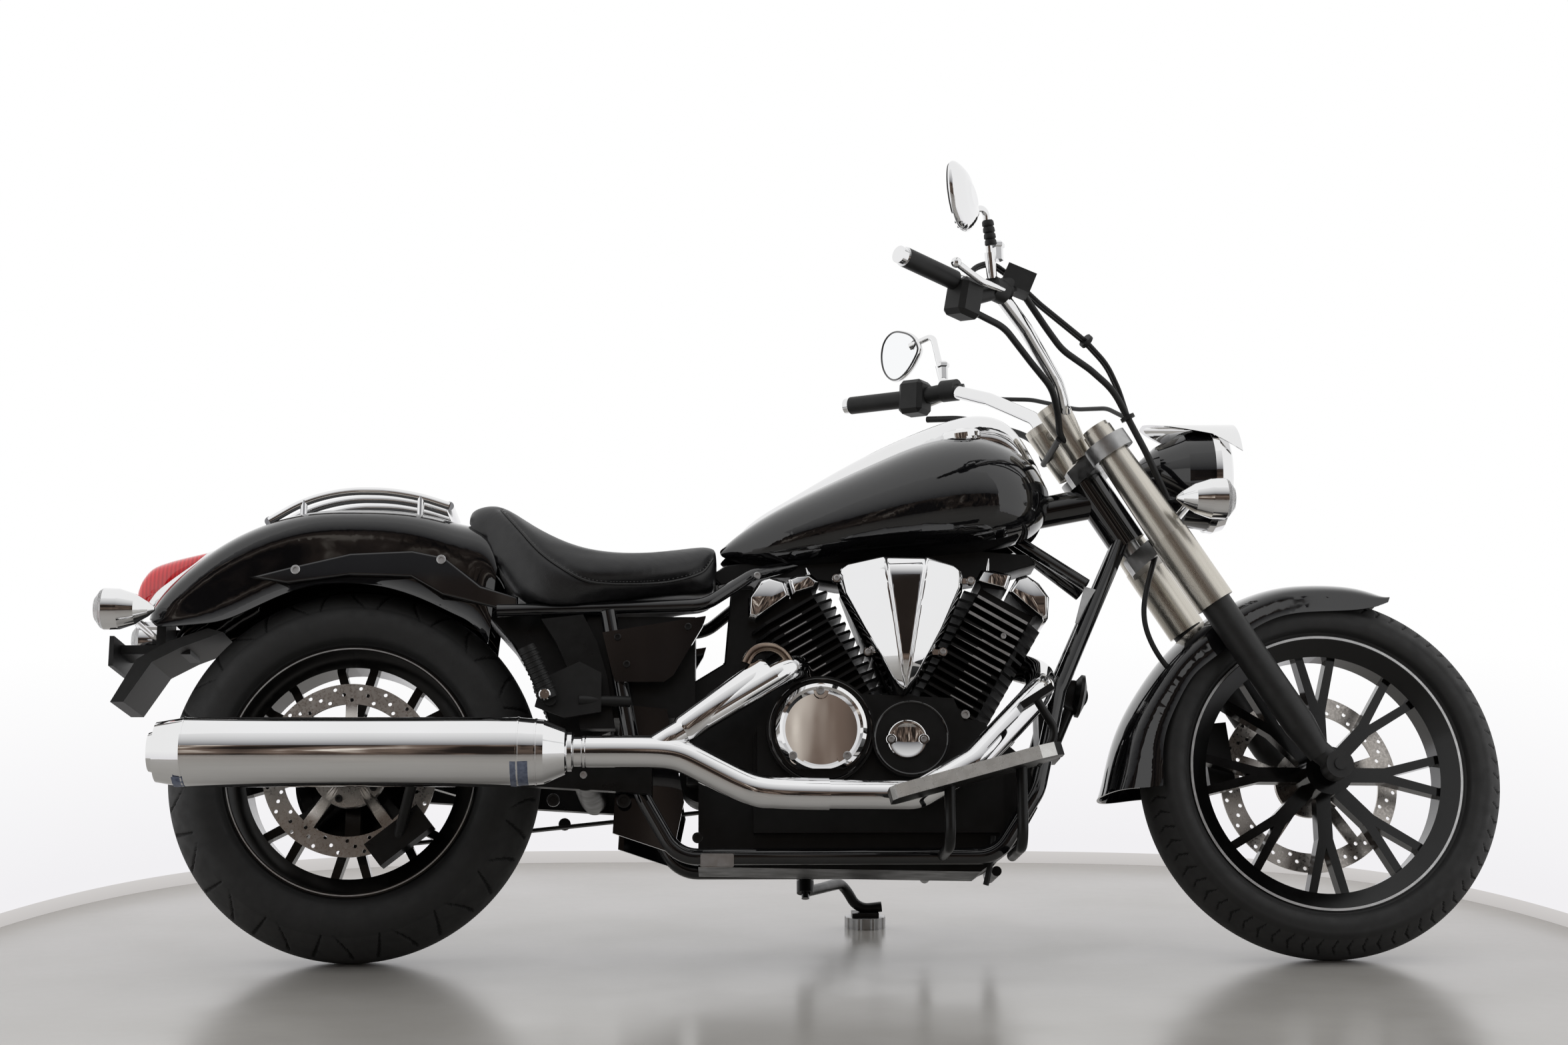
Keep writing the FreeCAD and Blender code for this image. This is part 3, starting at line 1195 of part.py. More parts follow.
def passenger_pegs():
    """Folded rubber pegs, each on a plate that stands off the frame."""
    for side, word in ((-1, "right"), (1, "left")):
        base = V(N.peg_x, side * N.peg_offset, N.peg_z)
        tip = base.add(V(-N.peg_length * 0.42, side * N.peg_radius, N.peg_length * 0.9))
        shapes = [rod(base, tip, N.peg_radius)]
        corners = placed(PEG_PLATE_SHARES, N.peg_x - N.peg_length * 0.4, N.peg_length * 1.3,
                         N.peg_z - N.peg_radius * 2, N.peg_length)
        near = side * (N.peg_offset - N.peg_radius - N.peg_plate_thick)
        shapes.append(slab(corners, near, near + side * N.peg_plate_thick))
        root = V(base.x, near, base.z)
        shapes.append(rod(root, base, N.peg_radius * 0.8))
        end = V(N.pivot_x - N.cradle_bend / 3, side * (N.cradle_half_width + N.cradle_radius),
                N.peg_z)
        shapes.append(rod(V(N.peg_x + N.peg_length / 2, near + side * N.peg_plate_thick / 2, N.peg_z),
                          end, N.peg_radius * 0.6))
        feature("passenger_peg_" + word, "chassis", seated(fused(shapes), "frame"))


# Brakes, belt and horn


def caliper(name, group, centre, disc_y, side, turn, mount, carrier):
    """A block astride a disc, with a slot for it, and an arm to its mount."""
    solid = Part.makeBox(N.caliper_length, N.caliper_width, N.caliper_depth,
                         V(-N.caliper_length / 2, -N.caliper_width / 2, -N.caliper_depth / 2))
    room = N.disc_thick + N.wall * 4
    slot = Part.makeBox(N.caliper_length * 2, room, N.caliper_depth,
                        V(-N.caliper_length, -room / 2, -N.caliper_depth * 0.85))
    solid = solid.cut(slot)
    solid.Placement = Placement(V(centre.x, disc_y, centre.z), Rotation(Y, turn))
    arm = rod(V(centre.x, disc_y + side * N.caliper_width * 0.36, centre.z), mount,
              N.caliper_depth * 0.2)
    feature(name, group, seated(fused([solid, arm]), carrier))


def brakes():
    axle = V(0, 0, N.rear_tyre_radius)
    reach = N.rear_disc_radius - N.caliper_depth * 0.1
    angle = math.radians(-52)
    centre = axle.add(V(math.cos(angle) * reach, 0, math.sin(angle) * reach))
    mount = V(centre.x + N.caliper_length / 4, -N.arm_inner - N.arm_thick / 2,
              N.pivot_z - N.arm_tail / 4)
    caliper("rear_caliper", "chassis", centre, -N.rear_disc_offset, -1,
            N.rear_caliper_angle, mount, "swingarm")
    axle = V(N.wheelbase, 0, N.front_tyre_radius)
    reach = N.front_disc_radius + N.caliper_depth * 0.3
    centre = axle.add(V(math.cos(RAKE) * -reach * 0.94, 0, 0)).add(UP_FORK * (reach * 0.32))
    height = centre.sub(STEER_FOOT).dot(UP_FORK)
    mount = fork_point(height, N.fork_offset - N.leg_radius / 2,
                       N.fork_spacing / 2 - N.leg_radius / 2)
    caliper("front_caliper", "fork", centre, N.front_disc_offset, 1, -90 - N.rake_angle * 0.2, mount,
            "fork_leg_left")


def belt_loop(extra, aside):
    """The belt's run round both pulleys, thicker by one amount and wider each way by another."""
    near = N.belt_offset - N.belt_width / 2 - aside
    big = V(0, near, N.rear_tyre_radius)
    small = V(N.front_pulley_x, near, N.front_pulley_z)
    first = N.pulley_radius + extra
    second = N.front_pulley_radius + extra
    run = small.sub(big)
    tilt = math.atan2(run.z, run.x)
    lead = math.acos((first - second) / run.Length)
    points = []
    for centre, radius in ((big, first), (small, second)):
        for sign in (1, -1):
            angle = tilt + sign * lead
            points.append(centre.add(V(math.cos(angle), 0, math.sin(angle)).multiply(radius)))
    back = big.add(V(-math.cos(tilt), 0, -math.sin(tilt)).multiply(first))
    front = small.add(V(math.cos(tilt), 0, math.sin(tilt)).multiply(second))
    edges = [
        Part.Arc(points[0], back, points[1]).toShape(),
        Part.LineSegment(points[1], points[3]).toShape(),
        Part.Arc(points[3], front, points[2]).toShape(),
        Part.LineSegment(points[2], points[0]).toShape(),
    ]
    return Part.Face(Part.Wire(edges)).extrude(Y * (N.belt_width + aside * 2))


def drive_belt():
    """A toothed belt drawn plain: two arcs joined by straight runs, round both pulleys."""
    solid = belt_loop(N.gap * 2 + N.belt_thick, 0).cut(belt_loop(N.gap * 2, 0))
    feature("drive_belt", "chassis", solid)


def horn():
    """A round horn and the regulator block, on the front of the cradle."""
    centre = V(N.downtube_mid_x + N.cradle_radius * 2.4, 0, N.downtube_mid_z)
    axis = V(math.cos(RAKE / 3), 0, -math.sin(RAKE / 3))
    shapes = [
        turned([(0, 0), (0, 26), (8, 38), (14, 38), (20, 20), (20, 0)], centre, axis),
        block(V(N.downtube_low_x + N.cradle_radius * 2.4, 0, N.crank_cover_z + N.cradle_radius * 2),
              N.cradle_radius * 2.6, N.clutch_radius, N.generator_radius),
        rod(centre.add(axis * N.wall), V(centre.x - N.cradle_radius * 3, 0, N.crank_cover_z),
            N.cradle_radius * 0.7),
    ]
    for share in (0, 0.42):
        span = V(N.downtube_mid_x + (N.downtube_low_x - N.downtube_mid_x) * share,
                 N.downtube_mid_half_width + (N.cradle_half_width - N.downtube_mid_half_width) * share,
                 N.downtube_mid_z + (N.downtube_low_z - N.downtube_mid_z) * share)
        shapes.append(rod(mirrored(span, -1), span, N.cradle_radius * 0.6))
    feature("horn", "chassis", seated(fused(shapes), "frame"))


# Fork, headlight and handlebar


def fork_yokes():
    """Two yokes joined by the steering stem."""
    shapes = [rod(fork_point(N.yoke_low, 0, 0), fork_point(N.yoke_high, 0, 0), N.stem_radius)]
    half = N.fork_spacing / 2
    turn = Rotation(Y, -N.rake_angle)
    for height, thick in ((N.yoke_low, N.yoke_thick), (N.yoke_high, N.yoke_thick)):
        outline_points = [
            V(-N.yoke_rear, -N.stem_radius * 0.7, 0), V(N.fork_offset - N.yoke_depth / 2, -half, 0),
            V(N.fork_offset + N.yoke_depth / 2, -half, 0),
            V(N.fork_offset + N.yoke_depth / 2, half, 0),
            V(N.fork_offset - N.yoke_depth / 2, half, 0), V(-N.yoke_rear, N.stem_radius * 0.7, 0),
        ]
        face = Part.Face(Part.makePolygon(outline_points + outline_points[:1]))
        plate = face.extrude(V(0, 0, thick))
        plate.Placement = Placement(fork_point(height - thick / 2, 0, 0), turn)
        shapes.append(plate)
    solid = fused(shapes)
    for side in (-1, 1):
        low = fork_point(N.yoke_low - N.yoke_thick, N.fork_offset, side * half)
        high = fork_point(N.cover_top, N.fork_offset, side * half)
        solid = solid.cut(rod(low, high, N.cover_low_radius + N.gap))
        ring_low = fork_point(N.yoke_high - N.yoke_thick / 2, N.fork_offset, side * half)
        ring_high = fork_point(N.yoke_high + N.yoke_thick / 2, N.fork_offset, side * half)
        collar = rod(ring_low, ring_high, N.cover_low_radius + N.wall * 2)
        solid = solid.fuse(collar.cut(rod(low, high, N.cover_top_radius + N.wall + N.gap)))
    feature("fork_yokes", "fork", solid.removeSplitter())


def fork_tubes():
    """Brushed covers that widen downward, over the dark lower legs and the axle."""
    half = N.fork_spacing / 2
    axle = V(N.wheelbase, 0, N.front_tyre_radius)
    lowest = axle.sub(STEER_FOOT).dot(UP_FORK)
    for side, word in ((-1, "right"), (1, "left")):
        top = fork_point(N.cover_top, N.fork_offset, side * half)
        middle = fork_point(N.cover_break, N.fork_offset, side * half)
        low = fork_point(N.cover_low, N.fork_offset, side * half)
        cap = fork_point(N.cover_top + N.fin_pitch / 2, N.fork_offset, side * half)
        cover = fused([
            cone(top, middle, N.cover_top_radius, N.cover_low_radius - N.wall / 2),
            rod(middle, low, N.cover_low_radius), rod(top, cap, N.cover_top_radius - N.wall),
        ])
        bore = rod(fork_point(N.cover_break, N.fork_offset, side * half), low.sub(UP_FORK * N.overrun),
                   N.leg_radius + N.gap)
        feature("fork_cover_" + word, "fork", cover.cut(bore))
        foot = fork_point(lowest + N.leg_lug_length, N.fork_offset, side * half)
        shank = fork_point(N.cover_break - N.gap, N.fork_offset, side * half)
        knuckle = V(axle.x, side * half, axle.z)
        shapes = [
            rod(foot.add(UP_FORK * N.leg_lug_length), shank, N.leg_radius),
            cone(foot.add(UP_FORK * N.leg_lug_length), foot.sub(UP_FORK * N.leg_lug_length / 3),
                 N.leg_radius, N.leg_low_radius),
            rod(knuckle.sub(Y * N.leg_low_radius), knuckle.add(Y * N.leg_low_radius), N.lug_radius),
            cone(foot, knuckle, N.leg_low_radius, N.lug_radius * 0.8),
        ]
        if side < 0:
            end = half + N.leg_low_radius + N.wall
            shapes.append(rod(V(axle.x, -end, axle.z),
                              V(axle.x, half - N.leg_low_radius - N.gap, axle.z),
                              N.front_axle_radius))
        feature("fork_leg_" + word, "fork", fused(shapes))


# Each station: angle about the axle in degrees, then the crown's and the lower edge's radius.
FRONT_FENDER_STATION_SHARES = [
    (68, 0.987, 0.93), (73, 0.998, 0.87), (80, 0.995, 0.83), (90, 0.987, 0.81), (102, 0.987, 0.81),
    (115, 0.982, 0.8), (128, 0.98, 0.79), (141, 0.99, 0.815), (153, 1.01, 0.83), (164, 1.045, 0.845),
    (175, 1.085, 0.855), (186, 1.15, 0.865),
]


def front_fender():
    """The long fender, deeper towards its rear, stayed to the legs."""
    stations = []
    axle = V(N.wheelbase, 0, N.front_tyre_radius)
    for degrees, crown_share, edge_share in FRONT_FENDER_STATION_SHARES:
        angle = math.radians(degrees)
        ray = V(math.cos(angle), 0, math.sin(angle))
        crown = axle.add(ray * (N.front_fender_radius * crown_share))
        edge = axle.add(ray * (N.front_fender_radius * edge_share))
        stations.append((crown, edge))
    shapes = [shell(stations, N.front_fender_half_width, N.front_fender_crown_drop,
                    N.front_fender_wall)]
    height = axle.sub(STEER_FOOT).dot(UP_FORK) + N.front_fender_radius * 0.83
    for side in (-1, 1):
        near = fork_point(height, N.fork_offset, side * (N.front_fender_half_width - N.wall))
        far = fork_point(height, N.fork_offset, side * N.fork_spacing / 2)
        shapes.append(rod(near, far, N.leg_low_radius / 2))
    feature("front_fender", "fork", seated(fused(shapes), "fork_leg_right", "fork_leg_left"))


def headlight():
    """A round bucket, and its bright rim with a visor that runs back over it."""
    wide = N.headlight_radius
    long = N.headlight_length
    rim = N.headlight_rim
    centre = from_head("headlight").add(X * rim)
    profile = [
        (0, 0), (0, wide * 0.86), (rim, wide * 0.98), (long * 0.5, wide * 0.9), (long * 0.85, wide * 0.62),
        (long + rim, wide * 0.2), (long + rim, 0),
    ]
    shapes = [turned(profile, centre, X.negative())]
    stay = fork_point(N.yoke_low, N.fork_offset, 0)
    shapes.append(rod(stay, V(centre.x - long * 0.6, 0, centre.z - wide * 0.3), N.stem_radius))
    feature("headlight", "fork", seated(fused(shapes), "fork_yokes"))
    ring = turned([
        (-rim * 0.4, wide * 0.84), (-rim * 0.5, wide * 0.9), (-rim * 0.3, wide * 0.98), (rim * 0.5, wide * 1.04),
        (rim, wide * 1.02), (rim, wide * 0.9), (0, wide * 0.84),
    ], centre, X.negative())
    hood = turned([
        (-N.headlight_visor, wide * 1.06), (long, wide * 1.02), (long, wide * 1.02 + N.wall),
        (-N.headlight_visor, wide * 1.06 + N.wall),
    ], centre, X.negative())
    edge = slab([
        (centre.x - long, centre.z + wide * 1.04), (centre.x - rim, centre.z + wide * 0.7),
        (centre.x + N.headlight_visor, centre.z + wide * 0.3),
        (centre.x + N.headlight_visor, centre.z + wide * 1.2), (centre.x - long, centre.z + wide * 1.2),
    ], -wide * 1.2, wide * 1.2)
    neck = rod(centre.add(Z * (wide * 0.96)).sub(X * (rim * 0.8)),
               centre.add(Z * (wide * 1.1)).sub(X * (rim * 0.8)), rim / 3)
    trim = fused([ring, max(hood.common(edge).Solids, key=lambda part: part.Volume), neck])
    feature("headlight_rim", "fork", seated(trim, "headlight"))


def front_signals():
    """Two bullet signals on a stay that runs behind the headlight."""
    shapes = []
    for side in (-1, 1):
        lens = from_head("front_signal", side)
        shapes.append(turned(signal_profile(), lens, X.negative()))
    stay = from_head("front_signal").sub(X * (N.signal_length * 0.65))
    shapes.append(rod(mirrored(stay, -1), stay, N.signal_stay_radius))
    tab = V(stay.x, 0, stay.z)
    shapes.append(rod(tab, fork_point(N.yoke_low, N.fork_offset, 0), N.signal_stay_radius))
    feature("front_signals", "fork", seated(fused(shapes), "fork_yokes", "headlight"))


def bar_points(side):
    """The handlebar's centre line from the middle out to one end."""
    names = ("bar_centre", "bar_knee", "bar_rise", "bar_turn", "bar_grip", "bar_end")
    return [from_head(name, side) for name in names]


def bar_line():
    """The whole handlebar's centre line, from the right end to the left."""
    return bar_points(-1)[::-1] + bar_points(1)


def bar_room():
    """The handlebar with a running gap round it."""
    return bent_tube(bar_line(), N.bar_radius + N.gap, N.bar_bend)


def handlebar():
    """The bent bar with a round cap on each end."""
    shapes = [bent_tube(bar_line(), N.bar_radius, N.bar_bend)]
    for side in (-1, 1):
        inner, outer = bar_points(side)[-2:]
        along = outer.sub(inner).normalize()
        shapes.append(rod(outer, outer.add(along * N.grip_cap_length), N.grip_cap_radius))
    feature("handlebar", "fork", fused(shapes))


def risers():
    """Two brushed risers that clamp the handlebar to the upper yoke."""
    shapes = []
    floor = N.yoke_high + N.yoke_thick / 2 + N.gap
    for side in (-1, 1):
        foot = fork_point(floor, 0, side * N.riser_offset)
        top = fork_point(floor + N.riser_height - N.riser_cap, N.riser_ahead, side * N.riser_offset)
        lid = fork_point(floor + N.riser_height, N.riser_ahead, side * N.riser_offset)
        run = lid.sub(foot)
        shapes.append(turned([
            (0, 0), (0, N.riser_foot_radius), (top.sub(foot).Length, N.riser_radius),
            (run.Length, N.riser_radius), (run.Length, 0),
        ], foot, run))
    base = fork_point(floor, 0, -N.riser_offset)
    bridge = Part.makeBox(N.riser_foot_radius, N.riser_offset * 2, N.wall * 2,
                          V(-N.riser_foot_radius / 2, 0, 0))
    bridge.Placement = Placement(base, Rotation(Y, -N.rake_angle))
    shapes.append(bridge)
    solid = seated(fused(shapes), "fork_yokes")
    solid = solid.cut(bar_room())
    feature("handlebar_risers", "fork", max(solid.Solids, key=lambda part: part.Volume))


def controls():
    """A grip with its switch box at each end of the bar, and the brake's fluid box."""
    clear = bar_room()
    for side, word in ((-1, "right"), (1, "left")):
        inner, outer = bar_points(side)[-2:]
        along = outer.sub(inner).normalize()
        shapes = [rod(inner.add(along * N.gap), outer.sub(along * N.gap), N.grip_radius)]
        middle = inner.sub(along * (N.switch_length * 0.45))
        if side < 0:
            middle = middle.sub(Z * N.switch_drop)
        turn = Rotation(Y, along)
        box = Part.makeBox(N.switch_width, N.switch_length, N.switch_height,
                           V(-N.switch_width / 2, -N.switch_length / 2, -N.switch_height / 2))
        box = box.makeChamfer(N.switch_width / 6, box.Edges)
        box.Placement = Placement(middle, turn)
        shapes.append(box)
        clamp = from_head("bar_turn", side)
        shapes.append(rod(clamp.sub(along * N.perch_radius), clamp.add(along * N.perch_radius),
                          N.perch_radius * 1.3))
        if side < 0:
            tank = block(V(), N.tank_box_length, N.tank_box_width, N.tank_box_height)
            tank.Placement = Placement(from_head("tank_box", side), Rotation(Y, N.rake_angle * 0.7))
            shapes.append(tank)
            shapes.append(rod(from_head("tank_box", side), clamp, N.perch_radius))
        shapes.append(rod(middle, clamp, N.perch_radius))
        root = from_head("lever_root", side)
        shapes.append(rod(root, clamp, N.perch_radius * 0.8))
        feature("control_" + word, "fork", fused(shapes).cut(clear))


def levers():
    """A bright ball-ended lever ahead of each grip."""
    for side, word in ((-1, "right"), (1, "left")):
        tip = from_head("lever_tip", side)
        path = [from_head("lever_root", side), from_head("lever_mid", side), tip]
        ball = Part.makeSphere(N.lever_ball_radius, tip)
        blade = bent_tube(path, N.lever_radius, N.cradle_bend)
        feature("lever_" + word, "fork", seated(fused([blade, ball]), "control_" + word))


MIRROR_SHARES = [
    (0, 0.42), (0.12, 0.66), (0.42, 0.9), (0.72, 1.0), (0.94, 0.88), (1.0, 0.52), (0.88, 0.2), (0.62, 0),
    (0.3, 0.06), (0.08, 0.24),
]
# How far the mirror's outline shrinks at each share of its depth.
MIRROR_DEPTH_SHARES = [(0, 0.93), (0.12, 1.0), (0.5, 0.88), (0.84, 0.6), (1.0, 0.3)]


def mirrors():
    """A leaf-shaped mirror on a cranked stem at each side."""
    clear = bar_room()
    for side, word in ((-1, "right"), (1, "left")):
        sections = []
        for depth, scale in MIRROR_DEPTH_SHARES:
            loop = []
            for across, up in MIRROR_SHARES:
                out = side * ((across - 0.5) * scale + 0.5 - scale * 0.06) * N.mirror_width
                loop.append(V(depth * N.mirror_thick, out, (up - 0.5) * scale * N.mirror_height))
            sections.append(loop)
        shell_back = smooth_skin(sections)
        shell_back.translate(Y * (-side * N.mirror_width / 2))
        shell_back.Placement = Placement(from_head("mirror", side),
                                         Rotation(Z, side * N.mirror_turn_angle)).multiply(
                                             shell_back.Placement)
        foot = from_head("mirror_base", side)
        knee = from_head("mirror_knee", side)
        head = from_head("mirror", side).sub(Y * (side * N.mirror_width * 0.34)).add(
            X * (N.mirror_thick * 0.6))
        stem = bent_tube([foot, knee, head], N.mirror_stem_radius, N.mirror_height / 8)
        rise = knee.sub(foot).normalize()
        base = rod(foot, foot.add(rise * N.mirror_post_height), N.mirror_post_radius)
        solid = fused([shell_back, stem, base]).cut(clear)
        feature("mirror_" + word, "fork", seated(solid, "control_" + word))


# Cables, each by points up from the cables' lowest end, ahead of the steering axis and out.
THROTTLE_ROUTE_SHARES = [
    (0.93, -0.62, 0.98), (0.985, -0.33, 0.9), (0.979, 0.03, 0.83), (0.92, 0.18, 0.78), (0.79, 0.42, 0.67),
    (0.617, 0.83, 0.5), (0.52, 0.97, 0.42), (0.43, 0.95, 0.36), (0.33, 0.85, 0.32),
]
HOSE_ROUTE_SHARES = [
    (0.86, 0.16, 0.82), (0.7, 0.24, 0.72), (0.62, 0.33, 0.63), (0.525, 0.6, 0.53), (0.43, 0.8, 0.44),
    (0.33, 0.8, 0.37), (0.19, 0.7, 0.4), (0.02, 0.6, 0.36),
]
CLUTCH_ROUTE_SHARES = [
    (0.85, -0.05, -0.9), (0.73, 0.14, -0.67), (0.645, 0.46, -0.5), (0.5, 0.72, -0.2), (0.42, 0.86, 0.1),
    (0.33, 0.83, 0.33),
]
WIRING_ROUTE_SHARES = [
    (0.835, -0.75, 1.0), (0.76, -0.4, 0.86), (0.64, -0.16, 0.62), (0.54, 0.02, 0.46), (0.46, -0.02, 0.3),
    (0.4, -0.16, 0.26), (0.31, 0.2, 0.2),
]


def route(shares, side, aside=0):
    """A cable's points from its shares, on one side and moved aside."""
    return [
        fork_point(N.cable_base_up + up * N.cable_rise, ahead * N.cable_reach,
                   side * (out * N.cable_spread + aside))
        for up, ahead, out in shares
    ]


def tie(shares, index, side):
    """A strap round the cables at one of their corners."""
    points = route(shares, side)
    run = points[index + 1].sub(points[index - 1]).normalize()
    return rod(points[index].sub(run * (N.tie_length / 2)), points[index].add(run * (N.tie_length / 2)),
               N.tie_radius)


def cables():
    """Throttle pair, brake hose and clutch cable in one loom, and the wiring along the bar."""
    hold = ("control_right", "control_left", "fork_yokes", "handlebar", "fork_cover_right")
    loom = tie(THROTTLE_ROUTE_SHARES, 5, -1)
    for aside in (0, -N.cable_radius * 2.6):
        cable = bent_tube(route(THROTTLE_ROUTE_SHARES, -1, aside), N.cable_radius, N.cable_reach)
        loom = fused([loom, seated(cable, *hold)])
    clutch = bent_tube(route(CLUTCH_ROUTE_SHARES, -1), N.cable_radius, N.cable_reach)
    hose = bent_tube(route(HOSE_ROUTE_SHARES, -1), N.hose_radius, N.cable_reach)
    loom = fused([loom, seated(clutch, *hold)])
    loom = fused([loom, tie(HOSE_ROUTE_SHARES, 5, -1), seated(hose, *hold)])
    feature("control_cables", "fork", loom)
    wires = [bent_tube(route(WIRING_ROUTE_SHARES, side), N.hose_radius, N.cable_reach) for side in (-1, 1)]
    low = route(WIRING_ROUTE_SHARES, 1)[-2]
    wires.append(rod(mirrored(low, -1), low, N.hose_radius))
    feature("bar_wiring", "fork",
            seated(fused(wires), "handlebar_risers", "control_cables", *hold))


# Side stand, drawn where it stands on the ground


def side_stand():
    """The leg from its pin down a curved neck to its foot, and the notched puck below it."""
    pivot = chassis_pose().multVec(V(N.stand_pivot_x, N.stand_pivot_offset, N.stand_pivot_z))
    foot = V(N.stand_foot_x, N.stand_foot_y, N.puck_height + N.gap)
    axis = stand_axis()
    eye_high = pivot.sub(axis * (N.stand_pin_radius + N.gap))
    eye_low = eye_high.sub(axis * (N.stand_leg_radius * 1.7))
    eye = rod(eye_low, eye_high, N.stand_pin_radius * 2.2)
    root = eye_low.add(axis * (N.stand_leg_radius * 0.2))
    thick = N.stand_leg_radius * 0.8
    neck = foot.add(V(-N.stand_neck_back, 0, N.stand_neck_height))
    heel = foot.add(V(-N.stand_foot_length * 0.22, 0, N.stand_foot_thick + thick / 2))
    toe = foot.add(V(N.stand_foot_length / 2, 0, N.stand_foot_thick + thick))
    leg = bent_tube([root, neck, heel, toe], thick, N.stand_leg_radius * 3)
    spring = rod(root, neck.sub(X * (thick * 1.6)), thick * 0.8)
    hook = rod(neck.sub(X * (thick * 1.6)), neck, thick * 0.5)
    bore = rod(eye_low.sub(axis * N.overrun), eye_high.add(axis * N.overrun),
               N.stand_pin_radius + N.pivot_fit)
    plate = block(foot.add(Z * (N.stand_foot_thick / 2)), N.stand_foot_length * 0.8,
                  N.stand_foot_width, N.stand_foot_thick)
    feature("side_stand", "stand", fused([eye, leg, spring, hook, plate]).cut(bore))
    puck = Part.makeCylinder(N.puck_radius, N.puck_height)
    for index in range(int(N.puck_notch_count)):
        angle = 2 * math.pi * index / N.puck_notch_count
        rim = V(math.cos(angle), math.sin(angle), 0) * (N.puck_radius + N.puck_notch_radius * 0.6)
        puck = puck.cut(rod(rim.sub(Z * N.overrun), rim.add(Z * (N.puck_height + N.overrun)),
                            N.puck_notch_radius))
    puck.translate(V(N.stand_foot_x, N.stand_foot_y, 0))
    feature("stand_puck", "stand", puck)


def stand_axis():
    """The stand's pin, square to the leg both when it is out and when it is folded back."""
    pivot = chassis_pose().multVec(V(N.stand_pivot_x, N.stand_pivot_offset, N.stand_pivot_z))
    out = V(N.stand_foot_x, N.stand_foot_y, N.puck_height).sub(pivot)
    folded = chassis_pose().Rotation.multVec(V(-1, 0, 0))
    return out.cross(folded).normalize()


# Where the machine stands


def steer_turn():
    """The fork's turn about the steering axis from straight ahead."""
    turn = Rotation(UP_FORK, N.rest_steer_angle)
    return Placement(STEER_FOOT, turn).multiply(Placement(STEER_FOOT, Rotation()).inverse())


def lowest(pose, axle, end):
    """How low a tyre reaches under a pose."""
    centre = pose.multVec(axle)
    spin = pose.Rotation.multVec(Y)
    flat = math.sqrt(1 - spin.z * spin.z)
    line = tread_line(end)
    return centre.z - max(float(up) * flat + float(across) * abs(spin.z) for across, up in line)


def chassis_pose():
    """The lean to the left, with both tyres brought down to the ground."""
    rear = V(0, 0, N.rear_tyre_radius)
    front = V(N.wheelbase, 0, N.front_tyre_radius)
    pose = Placement(V(), Rotation(X, -N.lean_angle))
    low_rear = lowest(pose, rear, "rear_")
    low_front = lowest(pose.multiply(steer_turn()), front, "front_")
    pitch = math.degrees(math.atan2(low_front - low_rear, N.wheelbase))
    pose = Placement(V(), Rotation(Y, pitch)).multiply(pose)
    low_rear = lowest(pose, rear, "rear_")
    return Placement(V(0, 0, -low_rear), Rotation()).multiply(pose)


def group_poses():
    """The placement of each group of pieces before the whole is centred."""
    lean = chassis_pose()
    fork = lean.multiply(steer_turn())
    return {
        "chassis": lean,
        "fork": fork,
        "rear_wheel": lean.multiply(Placement(V(0, 0, N.rear_tyre_radius), Rotation())),
        "front_wheel": fork.multiply(Placement(V(N.wheelbase, 0, N.front_tyre_radius), Rotation())),
        "stand": Placement(),
    }


def centre_shift():
    """The move that puts the middle of the machine's box over the origin."""
    box = FreeCAD.BoundBox()
    poses = group_poses()
    for piece, group, local in PIECES.values():
        shape = piece.Shape.copy()
        shape.Placement = poses[group].multiply(local).multiply(shape.Placement)
        box.add(shape.optimalBoundingBox(False))
    return V(-box.Center.x, -box.Center.y, 0)


def build():
    wheels()
    frame()
    swingarm()
    engine_case()
    cylinder("front_cylinder", 1)
    cylinder("rear_cylinder", -1)
    head_cover("front_head_cover", 1)
    head_cover("rear_head_cover", -1)
    clutch_cover()
    air_cleaner_cover()
    exhaust()
    fuel_tank()
    filler_cap()
    tank_console()
    rear_fender()
    seat()
    luggage_rack()
    tail_light()
    rear_signals()
    licence_bracket()
    battery_box()
    side_covers()
    floorboards()
    passenger_pegs()
    drive_belt()
    horn()
    fork_yokes()
    fork_tubes()
    brakes()
    front_fender()
    headlight()
    front_signals()
    handlebar()
    risers()
    controls()
    levers()
    mirrors()
    cables()
    side_stand()
    doc.recompute()
    poses = group_poses()
    shift = Placement(centre_shift(), Rotation())
    for piece, group, local in PIECES.values():
        pose = shift.multiply(poses[group]).multiply(local)
        piece.Placement = pose.multiply(piece.Placement)
    doc.recompute()


def check():
    """Stop if any object failed or any piece is not one valid solid."""
    for thing in doc.Objects:
        if "Invalid" in thing.State or "Error" in thing.State:
            raise RuntimeError("%s failed: %s" % (thing.Name, thing.State))
    for name, (piece, _, _) in PIECES.items():
        if piece.Shape.isNull() or not piece.Shape.isValid():
            raise RuntimeError("%s has no valid shape" % name)
        if len(piece.Shape.Solids) != 1:
            print("solids:", name, len(piece.Shape.Solids))


def export():
    os.makedirs("parts", exist_ok=True)
    for name, (piece, _, _) in PIECES.items():
        piece.Shape.exportStep("parts/%s.step" % name)


build()
check()
export()
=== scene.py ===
import json
import math

import bmesh
import bpy
from mathutils import Matrix, Vector
from mathutils.bvhtree import BVHTree
from mathutils.kdtree import KDTree


